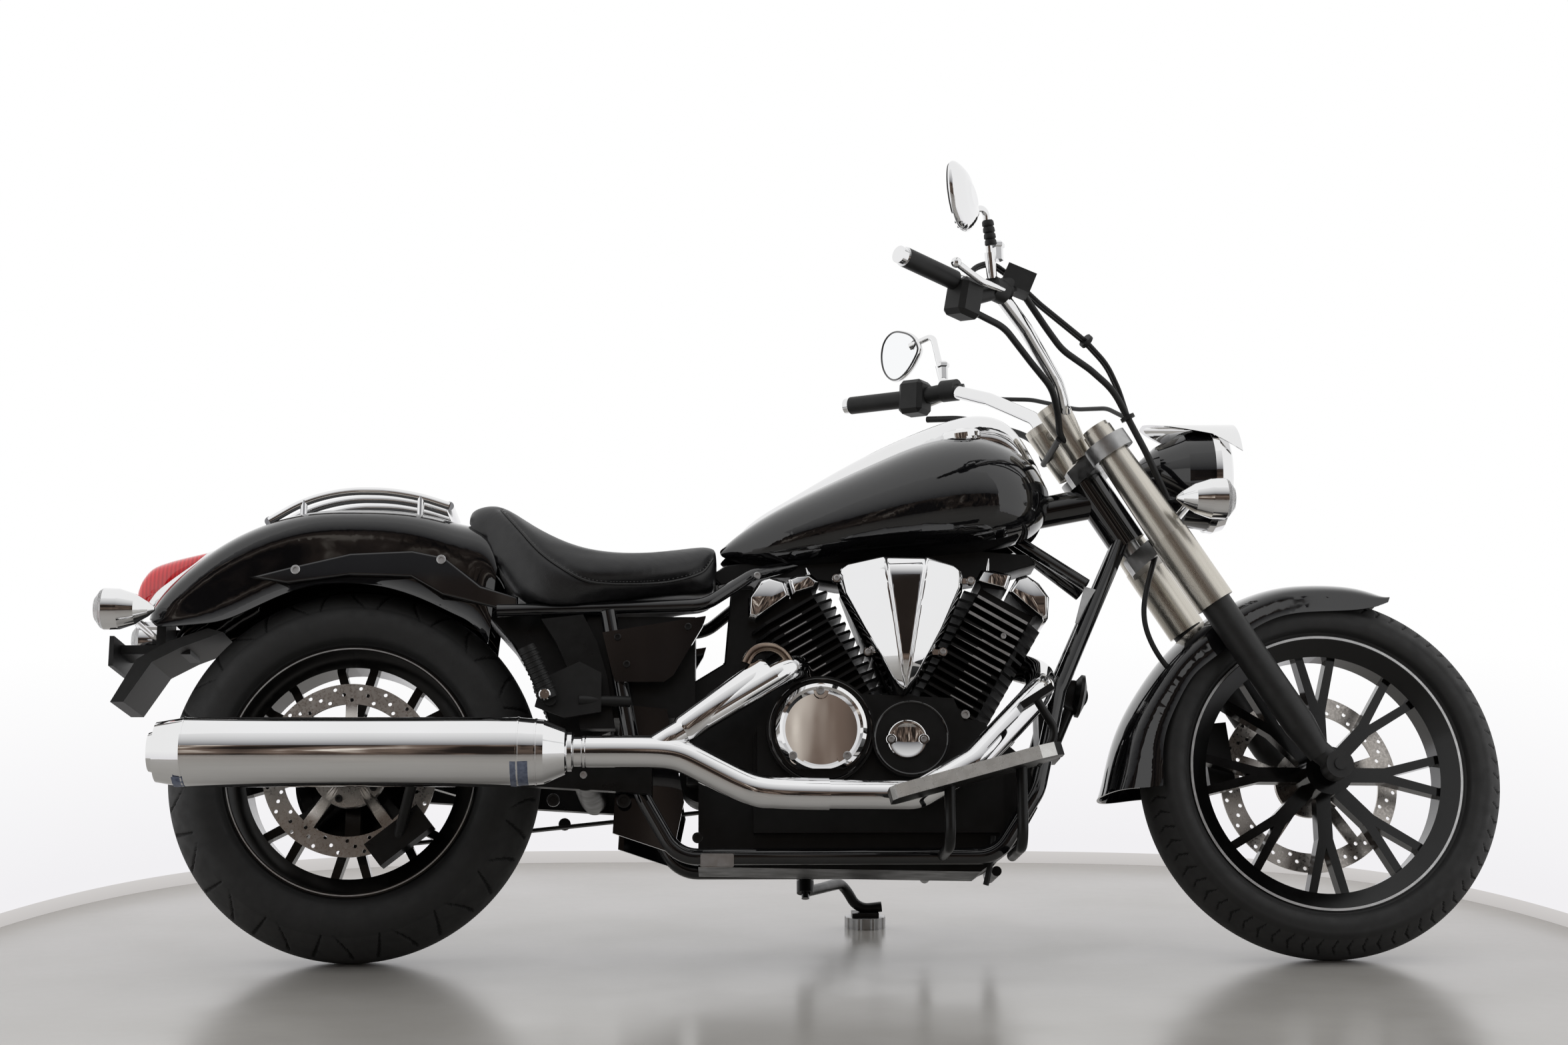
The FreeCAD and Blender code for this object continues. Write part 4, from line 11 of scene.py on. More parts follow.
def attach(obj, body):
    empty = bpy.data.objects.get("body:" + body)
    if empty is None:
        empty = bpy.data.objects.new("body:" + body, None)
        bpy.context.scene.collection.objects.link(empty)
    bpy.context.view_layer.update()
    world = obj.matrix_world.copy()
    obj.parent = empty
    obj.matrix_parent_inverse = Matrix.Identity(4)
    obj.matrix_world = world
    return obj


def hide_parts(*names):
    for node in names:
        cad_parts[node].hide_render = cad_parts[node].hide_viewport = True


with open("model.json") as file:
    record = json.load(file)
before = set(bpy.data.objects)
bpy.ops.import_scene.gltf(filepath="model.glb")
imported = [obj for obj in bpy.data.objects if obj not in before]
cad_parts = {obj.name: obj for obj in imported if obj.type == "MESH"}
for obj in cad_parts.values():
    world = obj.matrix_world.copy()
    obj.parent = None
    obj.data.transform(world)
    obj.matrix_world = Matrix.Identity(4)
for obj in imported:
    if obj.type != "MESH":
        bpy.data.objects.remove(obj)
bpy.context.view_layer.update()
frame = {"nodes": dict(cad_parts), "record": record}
NODES = frame["nodes"]
RECORD = frame["record"]
JOINTS = {joint["name"]: joint for joint in RECORD["behaviour"]["joints"]}
scene = bpy.context.scene
MM = 0.001

# The machine's own upright axes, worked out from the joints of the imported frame

LEAN_DEGREES = 13.3
PITCH_DEGREES = 0.074
STEER_DEGREES = 3.95
REAR_RADIUS = 0.322
FRONT_RADIUS = 0.320
WHEELBASE = 1.685

rear_axle = Vector(JOINTS["rear_wheel_spin"]["pos_m"])
upright = Matrix.Rotation(math.radians(PITCH_DEGREES), 4, "Y") @ Matrix.Rotation(
    math.radians(-LEAN_DEGREES), 4, "X")
CHASSIS = Matrix.Translation(rear_axle - upright @ Vector((0, 0, REAR_RADIUS))) @ upright
head = Vector(JOINTS["steering"]["pos_m"])
steer_axis = Vector(JOINTS["steering"]["axis"])
turn = Matrix.Rotation(math.radians(STEER_DEGREES), 4, steer_axis)
FORK = Matrix.Translation(head) @ turn @ Matrix.Translation(-head) @ CHASSIS
AXES = {
    "chassis": CHASSIS,
    "fork": FORK,
    "rear_wheel": CHASSIS @ Matrix.Translation((0, 0, REAR_RADIUS)),
    "front_wheel": FORK @ Matrix.Translation((WHEELBASE, 0, FRONT_RADIUS)),
}
RIGHT = (0, -1, 0)
AHEAD = (1, 0, 0)


def spot(point, direction):
    """A place whose local z axis points along a direction."""
    aim = Vector(direction).to_track_quat("Z", "Y").to_matrix().to_4x4()
    return Matrix.Translation(Vector(point)) @ aim


def mm(*numbers):
    """A point given in millimetres."""
    return Vector(numbers) * MM


def mm_line(*rows):
    return [mm(*row) for row in rows]


# Node materials

NOISE = "ShaderNodeTexNoise"
WAVE = "ShaderNodeTexWave"
STEER_TURN = tuple(steer_axis.to_track_quat("Z", "Y").inverted().to_euler())
NOISE_RANGE = (0.3, 0.7)
COAT_ROUGHNESS = 0.03
MATERIALS = {}


def feed(mat, socket, value):
    """Set a socket to a value, or link it to another node's output."""
    if isinstance(value, bpy.types.NodeSocket):
        mat.node_tree.links.new(value, socket)
    else:
        socket.default_value = value


def add(mat, kind, **inputs):
    """A new node with some of its inputs fed."""
    node = mat.node_tree.nodes.new(kind)
    for key, value in inputs.items():
        feed(mat, node.inputs[key.replace("_", " ")], value)
    return node


def texture(mat, scale, detail=4.0, kind=NOISE, rough=0.5, stretch=None, turned_by=None):
    """A texture over the object's own coordinates, turned and stretched if asked."""
    node = add(mat, kind, Scale=scale)
    if kind == NOISE:
        node.inputs["Detail"].default_value = detail
        node.inputs["Roughness"].default_value = rough
    place = add(mat, "ShaderNodeTexCoord").outputs["Object"]
    for socket, value in (("Rotation", turned_by), ("Scale", stretch)):
        if value:
            place = add(mat, "ShaderNodeMapping", Vector=place, **{socket: value}).outputs["Vector"]
    feed(mat, node.inputs["Vector"], place)
    return node.outputs[0]


def surface(name, base, rough, color=None, shine=None, bump=None, metallic=0.0, coat=0.0, specular=0.5,
            clear=0.0):
    """A Principled material: plain values, then textures for its colour, roughness and bump."""
    mat = bpy.data.materials.new(name)
    mat.use_nodes = True
    sockets = mat.node_tree.nodes["Principled BSDF"].inputs
    for key, value in (("Base Color", (*base, 1)), ("Roughness", rough), ("Metallic", metallic),
                       ("Coat Weight", coat), ("Coat Roughness", COAT_ROUGHNESS),
                       ("Specular IOR Level", specular), ("Transmission Weight", clear)):
        sockets[key].default_value = value
    if color:
        pattern, *shades = color
        ramp = add(mat, "ShaderNodeValToRGB", Fac=texture(mat, *pattern))
        for stop, place, shade in zip(ramp.color_ramp.elements, NOISE_RANGE, shades):
            stop.position = place
            stop.color = (*shade, 1)
        feed(mat, sockets["Base Color"], ramp.outputs["Color"])
    if shine:
        pattern, low, high = shine
        grade = add(mat, "ShaderNodeMapRange", Value=texture(mat, *pattern), From_Min=NOISE_RANGE[0],
                    From_Max=NOISE_RANGE[1], To_Min=low, To_Max=high)
        feed(mat, sockets["Roughness"], grade.outputs["Result"])
    if bump:
        pattern, strength, distance = bump
        relief = add(mat, "ShaderNodeBump", Height=texture(mat, *pattern), Strength=strength,
                     Distance=distance)
        feed(mat, sockets["Normal"], relief.outputs["Normal"])
    MATERIALS[name] = mat
    return mat


def grey(tone):
    return (tone,) * 3


def satin(name, low=0.26, high=0.42, tone=0.007, specular=0.28):
    surface(name, grey(tone), high, ((60, 6), grey(tone * 0.75), grey(tone * 1.35)), ((24,), low, high),
            ((900, 3), 0.12, 0.0004), specular=specular)


def cast(name, tone):
    surface(name, grey(tone), 0.35, ((70, 6), grey(tone * 0.9), grey(tone * 1.1)),
            ((90, 5), 0.28, 0.42), ((700, 3), 0.2, 0.0002), metallic=1.0)


def matte(name, tone):
    surface(name, grey(tone), 0.5, ((50,), grey(tone * 0.75), grey(tone * 1.3)), None,
            ((700,), 0.2, 0.0003), specular=0.35)


def tyre_rubber(name, tone, rough):
    surface(name, grey(tone), rough, ((26, 6), grey(tone * 0.8), (tone * 1.25, tone * 1.22, tone * 1.2)),
            ((50,), rough - 0.08, rough + 0.08), ((420, 6), 0.35, 0.0004))


for make, rows in (
        (satin, [("satin_black",), ("engine_black", 0.3, 0.44, 0.005, 0.3),
                 ("wheel_black", 0.1, 0.16, 0.003, 0.34), ("seam_leather", 0.2, 0.3, 0.01, 0.5),
                 ("bolt_black", 0.2, 0.3, 0.012), ("leg_black", 0.4, 0.52, 0.012, 0.4)]),
        # bright_edge is the real machined metal of the rim lines and the lower plate, and also the painted
        # highlights on the fins
        (cast, [("aluminium", 0.42), ("bright_edge", 0.5), ("bolt_steel", 0.6)]),
        (matte, [("matte_plastic", 0.01), ("rubber", 0.009), ("seam_thread", 0.09)]),
        # The grooves' rubber is darker than the plain tyre: painted shade in the grooves
        (tyre_rubber, [("tyre", 0.008, 0.62), ("tyre_tread", 0.017, 0.72), ("tread_groove", 0.003, 0.85)])):
    for row in rows:
        make(*row)
surface("gloss_black", (0.004, 0.004, 0.005), 0.03,
        ((11,), (0.0035, 0.0035, 0.004), (0.006, 0.006, 0.007)), ((7,), 0.03, 0.07), coat=0.6)
surface("chrome", grey(0.82), 0.015, ((5,), grey(0.7954), (0.82, 0.82, 0.8282)), ((14,), 0.015, 0.05),
        metallic=1.0)
surface("brushed_steel", (0.56, 0.53, 0.47), 0.3,
        ((300, 3, NOISE, 0.5, (1, 1, 0.005), STEER_TURN), (0.54, 0.51, 0.455), (0.62, 0.59, 0.53)),
        ((420, 3, NOISE, 0.5, (1, 1, 0.006), STEER_TURN), 0.24, 0.34), metallic=1.0)
surface("disc_steel", (0.5, 0.46, 0.42), 0.3, ((30, 6), (0.44, 0.41, 0.38), (0.56, 0.53, 0.5)),
        ((240, 5), 0.22, 0.4), metallic=1.0)
surface("leather", (0.012, 0.012, 0.013), 0.42, ((60, 5), (0.006, 0.006, 0.007), (0.012, 0.012, 0.013)),
        ((18,), 0.32, 0.42), ((520, 0, "ShaderNodeTexVoronoi"), 0.3, 0.0004))
# Dim brown metal for the hooked shield: a painted reflection of the brown hall on the shield's lower half
surface("bronze_shield", (0.2, 0.15, 0.11), 0.12, ((40, 5), (0.14, 0.1, 0.08), (0.3, 0.24, 0.19)),
        ((60,), 0.08, 0.22), metallic=1.0)
surface("polished_rim", (0.72, 0.72, 0.7), 0.28, ((50,), (0.66, 0.66, 0.64), (0.78, 0.78, 0.76)),
        ((80,), 0.22, 0.34), metallic=0.55)
surface("red_lens", (0.6, 0.008, 0.016), 0.06, ((44, 0, WAVE), (0.6, 0.008, 0.016), (0.8, 0.022, 0.03)),
        coat=1.0)
surface("clear_lens", grey(0.9), 0.08, None, ((30,), 0.05, 0.12), ((110, 0, WAVE), 0.4, 0.0008),
        clear=0.75)
surface("tape", (0.16, 0.19, 0.27), 0.3, ((120, 5), (0.1, 0.12, 0.19), (0.24, 0.28, 0.38)), None,
        ((260,), 0.4, 0.0006), metallic=0.55)
surface("label", (0.62, 0.63, 0.64), 0.35, ((80,), (0.56, 0.57, 0.58), (0.68, 0.69, 0.7)), None,
        ((200, 3), 0.1, 0.0003))
surface("looking_glass", (0.93, 0.94, 0.95), 0.01, None, ((9,), 0.0, 0.015), metallic=1.0)
MATERIALS["gloss_plastic"] = MATERIALS["gloss_black"]
MATERIALS["mirror_shell"] = MATERIALS["chrome"]

# Nodes whose finish is finer than their slot's
FINER = {
    "rear_wheel": "wheel_black", "front_wheel": "wheel_black", "engine_case": "engine_black",
    "front_cylinder": "engine_black", "rear_cylinder": "engine_black", "fork_leg_right": "leg_black",
    "fork_leg_left": "leg_black",
}

for part in RECORD["subparts"]:
    chosen = MATERIALS[FINER.get(part["node"], part["material_slot"])]
    NODES[part["node"]].data.materials.clear()
    NODES[part["node"]].data.materials.append(chosen)


# Mesh helpers


def linked(name, data):
    """A new object in the scene."""
    thing = bpy.data.objects.new(name, data)
    scene.collection.objects.link(thing)
    return thing


def mesh_of(name, build):
    """A bmesh written to a new mesh."""
    mesh = bpy.data.meshes.new(name)
    build.to_mesh(mesh)
    build.free()
    return mesh


def shaded(mesh, degrees):
    """Smooth shading, with edges sharper than an angle left sharp."""
    for face in mesh.polygons:
        face.use_smooth = True
    mesh.set_sharp_from_angle(angle=math.radians(degrees))


def finished(name, build, mat, body, degrees=35):
    """Turn a bmesh in machine coordinates into a named piece that rides on a body."""
    bmesh.ops.recalc_face_normals(build, faces=build.faces)
    mesh = mesh_of(name, build)
    mesh.transform(AXES[body])
    mesh.materials.append(MATERIALS[mat])
    shaded(mesh, degrees)
    piece = linked(name, mesh)
    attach(piece, body)
    return piece


def bridge(build, low, high, closed=True):
    """Faces between two rows of vertices."""
    for index in range(len(low) if closed else len(low) - 1):
        after = (index + 1) % len(low)
        build.faces.new((low[index], low[after], high[after], high[index]))


def rings_of(build, place, profile, count):
    """Rings of vertices round a place's axis, from a profile of (radius, height) in millimetres."""
    rings = []
    for radius, height in profile:
        size = max(radius, 0.01) * MM
        angles = [2 * math.pi * index / count for index in range(count)]
        rings.append([build.verts.new(place @ Vector((size * math.cos(a), size * math.sin(a), height * MM)))
                      for a in angles])
    return rings


def skin(build, rings):
    """Join closed rings of vertices one after another and close both ends."""
    for low, high in zip(rings, rings[1:]):
        bridge(build, low, high)
    build.faces.new(rings[0])
    build.faces.new(rings[-1])


def lathe(build, place, profile, count=32):
    """Turn a profile round a place's axis, closed at both ends."""
    skin(build, rings_of(build, place, profile, count))


def hoop(build, place, profile, count=96):
    """Turn a closed profile round a place's axis."""
    rings = rings_of(build, place, profile, count)
    for low, high in zip(rings, rings[1:] + rings[:1]):
        bridge(build, low, high)


def cap_screw(build, place, radius, height):
    """A round screw head with a chamfer and a hexagon socket."""
    lathe(build, place, [(radius, -height * 0.2), (radius, height * 0.82), (radius * 0.88, height),
                         (radius * 0.55, height), (radius * 0.5, height * 0.4), (0, height * 0.4)], 24)


def box(build, place, size):
    """A block with its middle at a place."""
    made = bmesh.ops.create_cube(build, size=1.0)
    bmesh.ops.scale(build, vec=size, verts=made["verts"])
    bmesh.ops.transform(build, matrix=place, verts=made["verts"])


def softened(build, offset, segments=2):
    bmesh.ops.bevel(build, geom=list(build.edges), offset=offset * MM, segments=segments, affect="EDGES")


def tube(name, kind, points, radius, roundness, mat):
    """A round tube along points, as a curve and its spline."""
    curve = bpy.data.curves.new(name, "CURVE")
    curve.dimensions = "3D"
    curve.bevel_depth = radius * MM
    curve.bevel_resolution = roundness
    curve.materials.append(MATERIALS[mat])
    spline = curve.splines.new(kind)
    spline.points.add(len(points) - 1)
    for target, point in zip(spline.points, points):
        target.co = (*point, 1)
    return curve, spline


def wire(name, points, radius, mat, body):
    """A smooth closed-ended tube along a few points in machine coordinates."""
    curve, spline = tube(name, "NURBS", [AXES[body] @ point for point in points], radius, 4, mat)
    curve.use_fill_caps = True
    curve.resolution_u = 10
    spline.order_u = 4
    spline.use_endpoint_u = True
    piece = linked(name, curve)
    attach(piece, body)


def applied(piece):
    """Replace a piece's mesh by the result of its modifiers."""
    depsgraph = bpy.context.evaluated_depsgraph_get()
    mesh = bpy.data.meshes.new_from_object(piece.evaluated_get(depsgraph))
    piece.modifiers.clear()
    piece.data = mesh
    return mesh


def copied(name, node, body):
    """A joined-up copy of a node's mesh in machine coordinates."""
    build = bmesh.new()
    build.from_mesh(NODES[node].data)
    bmesh.ops.remove_doubles(build, verts=build.verts, dist=2e-5)
    bmesh.ops.recalc_face_normals(build, faces=build.faces)
    mesh = mesh_of(name, build)
    mesh.transform(AXES[body].inverted())
    return linked(name, mesh)


def dressed(piece, mat, body, degrees):
    """Apply a copied piece's modifiers, bring it back to its body's place and give it one material."""
    mesh = applied(piece)
    mesh.transform(AXES[body])
    mesh.materials.clear()
    mesh.materials.append(MATERIALS[mat])
    shaded(mesh, degrees)


def smooth_line(points, steps):
    """A smooth line through points."""
    line = []
    for index in range(len(points) - 1):
        before = points[max(index - 1, 0)]
        start, end = points[index], points[index + 1]
        after = points[min(index + 2, len(points) - 1)]
        for step in range(steps):
            t = step / steps
            line.append(0.5 * (2 * start + (end - before) * t
                               + (2 * before - 5 * start + 4 * end - after) * t * t
                               + (3 * start - before - 3 * end + after) * t ** 3))
    line.append(points[-1])
    return line


# Tyres with their tread

CROWN_SHARES = [(0, 1), (0.38, 0.88), (0.72, 0.53), (1, 0)]
SIDE_SHARES = [(0.97, 0.72), (1, 0.42), (0.7, 0.15), (0, 0)]
BEAD_RISE = 0.0042
TREAD_STEPS = 900
TREAD_STAGGER = 0.03
NO_TREAD = 9.0
CHEVRONS_ROUND = 72
CHEVRON_REACH = (0.024, 0.046, 0.064)
CHEVRON_HALF = 0.0019
CHEVRON_DEPTH = 0.003
SLASHES_ROUND = 18
SLASH_REACH = (0.03, 0.092)
SLASH_HALF = 0.0028
SLASH_DEPTH = 0.0034


def tyre_line(radius, width, crown, drop, bead, flange):
    """Half of a tyre's smooth outer profile, as (across, radius)."""
    shoulder = radius - drop
    foot = flange + BEAD_RISE
    bulge = width / 2 - bead / 2
    points = [Vector((crown / 2 * across, shoulder + drop * up)) for across, up in CROWN_SHARES]
    points += [Vector((bead / 2 + bulge * across, foot + (shoulder - foot) * up))
               for across, up in SIDE_SHARES]
    lead = Vector((-points[1].x, points[1].y))
    return [point for point in smooth_line([lead] + points, 7) if point.x >= -1e-6]


def off_centre(angle, centre, pitch):
    """How far an angle is from the nearest of the grooves a pitch apart."""
    return abs((angle - centre + pitch / 2) % pitch - pitch / 2)


def chevrons(angle, reach):
    """How deep the front tread is cut at an angle round and a reach from the crown's middle."""
    low, middle, high = CHEVRON_REACH
    if not low < reach < high:
        return 0.0
    slant = (reach - middle) / (middle - low) if reach < middle else (reach - middle) / (high - middle) * 0.8
    off = off_centre(angle, (abs(slant) ** 0.85) * 0.03, 2 * math.pi / CHEVRONS_ROUND)
    return CHEVRON_DEPTH if off * FRONT_RADIUS < CHEVRON_HALF * (1 - abs(slant) * 0.6) else 0.0


def slashes(angle, reach):
    """How deep the rear tread is cut: a straight slash and a hooked one by turns."""
    low, high = SLASH_REACH
    if not low < reach < high:
        return 0.0
    share = (reach - low) / (high - low)
    for centre in (0.02 + 0.05 * share, 0.235 - 0.1 * share ** 2.2):
        off = off_centre(angle, centre, 2 * math.pi / SLASHES_ROUND)
        if off * REAR_RADIUS < SLASH_HALF * (1 - 0.6 * share ** 2):
            return SLASH_DEPTH
    return 0.0


def tread_tyre(name, node, body, half_line, cut, tread_reach):
    """A tyre with its grooves cut, on the same profile as the node it stands for."""
    reach = [0.0]
    for before, after in zip(half_line, half_line[1:]):
        reach.append(reach[-1] + (after - before).length)
    line = [(-point.x, point.y, far) for point, far in zip(reversed(half_line), reversed(reach))]
    line += [(point.x, point.y, far) for point, far in zip(half_line[1:], reach[1:])]
    across, radius = line[-1][0] * 0.9, line[-1][1] - 0.01
    line += [(across, radius, NO_TREAD), (-across, radius, NO_TREAD)]
    verts, marks = [], []
    for turn_index in range(TREAD_STEPS):
        angle = 2 * math.pi * turn_index / TREAD_STEPS
        for across, radius, far in line:
            depth = cut(angle if across > 0 else angle + TREAD_STAGGER, far)
            verts.append(((radius - depth) * math.cos(angle), across, (radius - depth) * math.sin(angle)))
            marks.append(depth > 0)
    width = len(line)
    faces, groups = [], []
    for turn_index in range(TREAD_STEPS):
        after = (turn_index + 1) % TREAD_STEPS
        for index in range(width):
            follow = (index + 1) % width
            corners = (turn_index * width + index, after * width + index, after * width + follow,
                       turn_index * width + follow)
            faces.append(corners)
            # Faces in a groove take the darker groove rubber: painted shade.
            cut_here = sum(marks[corner] for corner in corners) >= 2
            groups.append(2 if cut_here else (1 if line[index][2] < tread_reach else 0))
    mesh = bpy.data.meshes.new(name)
    mesh.from_pydata(verts, [], faces)
    for mat in ("tyre", "tyre_tread", "tread_groove"):
        mesh.materials.append(MATERIALS[mat])
    mesh.polygons.foreach_set("material_index", groups)
    mesh.transform(AXES[body])
    mesh.validate()
    shaded(mesh, 50)
    piece = linked(name, mesh)
    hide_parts(node)
    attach(piece, body)


def tyres():
    rear = tyre_line(REAR_RADIUS, 0.170, 0.152, 0.035, 0.132, 0.217)
    tread_tyre("rear_tread", "rear_tyre", "rear_wheel", rear, slashes, 0.092)
    front = tyre_line(FRONT_RADIUS, 0.132, 0.124, 0.033, 0.100, 0.243)
    tread_tyre("front_tread", "front_tyre", "front_wheel", front, chevrons, 0.069)


# Brake discs with their drilled holes, and the wheels' trim

HOLES_IN_ROW = 20
HUB_BOLTS = 5
HUB_BOLT_RING = 52


def drilled(name, node, body, offset, rows, hole):
    """A node's disc with rows of holes bored through its band."""
    piece = copied(name, node, body)
    build = bmesh.new()
    for row, radius in enumerate(rows):
        for index in range(HOLES_IN_ROW):
            angle = 2 * math.pi * (index + row / len(rows)) / HOLES_IN_ROW
            centre = mm(radius * math.cos(angle), offset - 20, radius * math.sin(angle))
            lathe(build, spot(centre, (0, 1, 0)), [(hole, 0), (hole, 40)], 14)
    bmesh.ops.recalc_face_normals(build, faces=build.faces)
    cutter = linked(name + "_holes", mesh_of(name + "_holes", build))
    bore = piece.modifiers.new("holes", "BOOLEAN")
    bore.object = cutter
    bore.solver = "EXACT"
    dressed(piece, "disc_steel", body, 30)
    bpy.data.objects.remove(cutter)
    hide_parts(node)
    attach(piece, body)


def discs():
    drilled("rear_brake_disc", "rear_disc", "rear_wheel", -76, (121, 131, 141.5), 3.4)
    drilled("front_brake_disc", "front_disc", "front_wheel", 70, (133, 143, 153), 3.6)


def wheel_trim():
    """The machined line on each rim's edge."""
    for name, body, y, inner, outer in (("front_rim_line", "front_wheel", 49, 237, 241.2),
                                        ("rear_rim_line", "rear_wheel", 67, 211.8, 214)):
        build = bmesh.new()
        for side in (-1, 1):
            hoop(build, spot(mm(0, side * y, 0), (0, side, 0)),
                 [(inner, -1), (inner, 0.6), (outer, 0.6), (outer, -1)], 180)
        finished(name, build, "bright_edge", body)


def hub_trim():
    """The bolts that hold each disc to its hub."""
    for name, body, side, y in (("front_hub_trim", "front_wheel", 1, 75.5),
                                ("rear_hub_trim", "rear_wheel", -1, -81.5)):
        build = bmesh.new()
        for index in range(HUB_BOLTS):
            angle = 2 * math.pi * (index + 0.5) / HUB_BOLTS
            point = mm(HUB_BOLT_RING * math.cos(angle), y, HUB_BOLT_RING * math.sin(angle))
            cap_screw(build, spot(point, (0, side, 0)), 6.5, 5)
        finished(name, build, "bolt_black", body)


# Seat

SEAM_PLACES = [(251, 778), (281, 742), (321, 695), (360, 663), (402, 639), (446, 634), (513, 639),
               (563, 650), (601, 667), (619, 694)]
SEAM_REACH = 0.012
SEAM_DEPTH = 0.0034
SEAT_SHRINK = 0.0035
SEAT_GRID = 0.005
PUFF_LIMIT = 0.004
CLOTH_FRAMES = 12
STITCH_STEP = 0.005
STITCH = [(0.2, 0), (0.6, 0.6), (0.6, 2.6), (0.2, 3.2)]


def stuffed(piece):
    """Blow a cushion up a little as cloth, hold it near its first form and smooth it."""
    mesh = piece.data
    start = [vertex.co.copy() for vertex in mesh.vertices]
    cloth = piece.modifiers.new("cloth", "CLOTH")
    cloth.settings.use_pressure = True
    cloth.settings.uniform_pressure_force = 4
    cloth.settings.effector_weights.gravity = 0
    cloth.point_cache.frame_start = 1
    cloth.point_cache.frame_end = CLOTH_FRAMES
    for number in range(1, CLOTH_FRAMES + 1):
        scene.frame_set(number)
    mesh = applied(piece)
    scene.frame_set(1)
    for vertex, origin in zip(mesh.vertices, start):
        move = vertex.co - origin
        if move.length > PUFF_LIMIT:
            vertex.co = origin + move.normalized() * PUFF_LIMIT
    build = bmesh.new()
    build.from_mesh(mesh)
    for _ in range(3):
        bmesh.ops.smooth_vert(build, verts=build.verts, factor=0.5, use_axis_x=True, use_axis_y=True,
                              use_axis_z=True)
    build.to_mesh(mesh)
    build.free()


def seam_paths(mesh):
    """The points and normals of the seam on each side of the cushion."""
    tree = BVHTree.FromPolygons([v.co for v in mesh.vertices], [tuple(f.vertices) for f in mesh.polygons])
    line = smooth_line([mm(x, 0, z) for x, z in SEAM_PLACES], 12)
    seams = []
    for side in (-1, 1):
        hits = [tree.ray_cast(Vector((point.x, side * 0.4, point.z)), Vector((0, -side, 0)))
                for point in line]
        seams.append([(hit[0], hit[1]) for hit in hits if hit[0]])
    return seams


def sunk(mesh, seams):
    """Pull the skin in along its seams."""
    near = [point for path in seams for point, _ in path]
    grove = KDTree(len(near))
    for index, point in enumerate(near):
        grove.insert(point, index)
    grove.balance()
    for vertex in mesh.vertices:
        distance = grove.find(vertex.co)[2]
        if distance < SEAM_REACH:
            vertex.co -= vertex.normal * (SEAM_DEPTH * (1 - distance / SEAM_REACH) ** 1.3)


def stitches(seams):
    """A stitch at every step along the seams."""
    build = bmesh.new()
    for path in seams:
        travelled = 0.0
        for (here, normal), (there, _) in zip(path, path[1:]):
            step = there - here
            travelled += step.length
            if travelled < STITCH_STEP:
                continue
            travelled = 0.0
            aim = step.normalized()
            lathe(build, spot(here + normal * 0.0002 - aim * 0.0016, aim), STITCH, 6)
    finished("seat_stitches", build, "seam_thread", "chassis")


def seat():
    """The stuffed seat: the node's form blown up a little as cloth, with a sewn seam each side."""
    piece = copied("seat_cushion", "seat", "chassis")
    shrink = piece.modifiers.new("shrink", "DISPLACE")
    shrink.strength = -SEAT_SHRINK
    shrink.mid_level = 0.0
    grid = piece.modifiers.new("grid", "REMESH")
    grid.mode = "VOXEL"
    grid.voxel_size = SEAT_GRID
    applied(piece)
    stuffed(piece)
    seams = seam_paths(piece.data)
    sunk(piece.data, seams)
    fine = piece.modifiers.new("fine", "SUBSURF")
    fine.levels = 1
    fine.render_levels = 1
    dressed(piece, "leather", "chassis", 60)
    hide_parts("seat")
    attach(piece, "chassis")
    stitches(seams)
    for number, path in enumerate(seams):
        piping = [here + normal * 0.0009 + Vector((0, 0, -0.0042)) for here, normal in path]
        wire("seat_piping_%d" % number, piping, 2.3, "seam_leather", "chassis")


# Engine trim

BANK_DEGREES = 30
FIN_FOOT = 142
FIN_PITCH = 16
FIN_HALF_THICK = 2.5

# Screw heads as x, distance out, z, radius and height, in millimetres
BRIGHT_BOTH_SIDES = [(-99, 115, 664, 8, 5), (151, 115, 682, 8, 5), (697, 112, 655, 6, 5)]
BRIGHT_RIGHT = [(802, 189, 441, 7, 5), (755, 189, 330, 7, 5), (846, 189, 330, 7, 5),
                (921, 179, 359, 5.5, 5), (976, 179, 359, 5.5, 5), (832, 168, 639, 5, 4),
                (1062, 168, 635, 5, 4), (884, 168, 511, 5, 4), (1012, 168, 511, 5, 4),
                (407, 232, 292, 6, 5), (1053, 108, 412, 8, 5), (1122, 108, 549, 5, 4)]
DARK_BOTH_SIDES = [(458, 152, 539, 6, 4), (474, 152, 492, 6, 4), (578, 152, 557, 6, 4),
                   (595, 140, 198, 9, 6), (471, 150, 259, 12, 7), (354, 170, 258, 11, 7)]


def bank(side):
    """A cylinder's own frame: up its axis, away from the other cylinder."""
    return Matrix.Translation(mm(938, 0, 277)) @ Matrix.Rotation(math.radians(BANK_DEGREES * side), 4, "Y")


def fin_edges():
    """Bright strips in the middle of the fins' faces: painted highlights."""
    build = bmesh.new()
    for bank_side in (-1, 1):
        for index in range(3, 14):
            height = FIN_FOOT + FIN_PITCH * index + FIN_HALF_THICK
            middle = bank_side * (16 if index < 11 else 8)
            for face_side in (-1, 1):
                place = bank(bank_side) @ Matrix.Translation(mm(middle, face_side * 106, height))
                box(build, place, mm(44, 1.0, 2.0))
    finished("fin_edges", build, "bright_edge", "chassis")


def bolts(name, mat, both_sides, right_only):
    """Screw heads on the chassis."""
    build = bmesh.new()
    for side, rows in ((-1, both_sides + right_only), (1, both_sides)):
        for x, out, z, radius, height in rows:
            cap_screw(build, spot(mm(x, side * out, z), (0, side, 0)), radius, height)
    finished(name, build, mat, "chassis")


def fasteners():
    bolts("bright_bolts", "bolt_steel", BRIGHT_BOTH_SIDES, BRIGHT_RIGHT)
    bolts("dark_bolts", "bolt_black", DARK_BOTH_SIDES, [])


# Finishing of the CAD nodes face by face, with painted highlights on the front fins


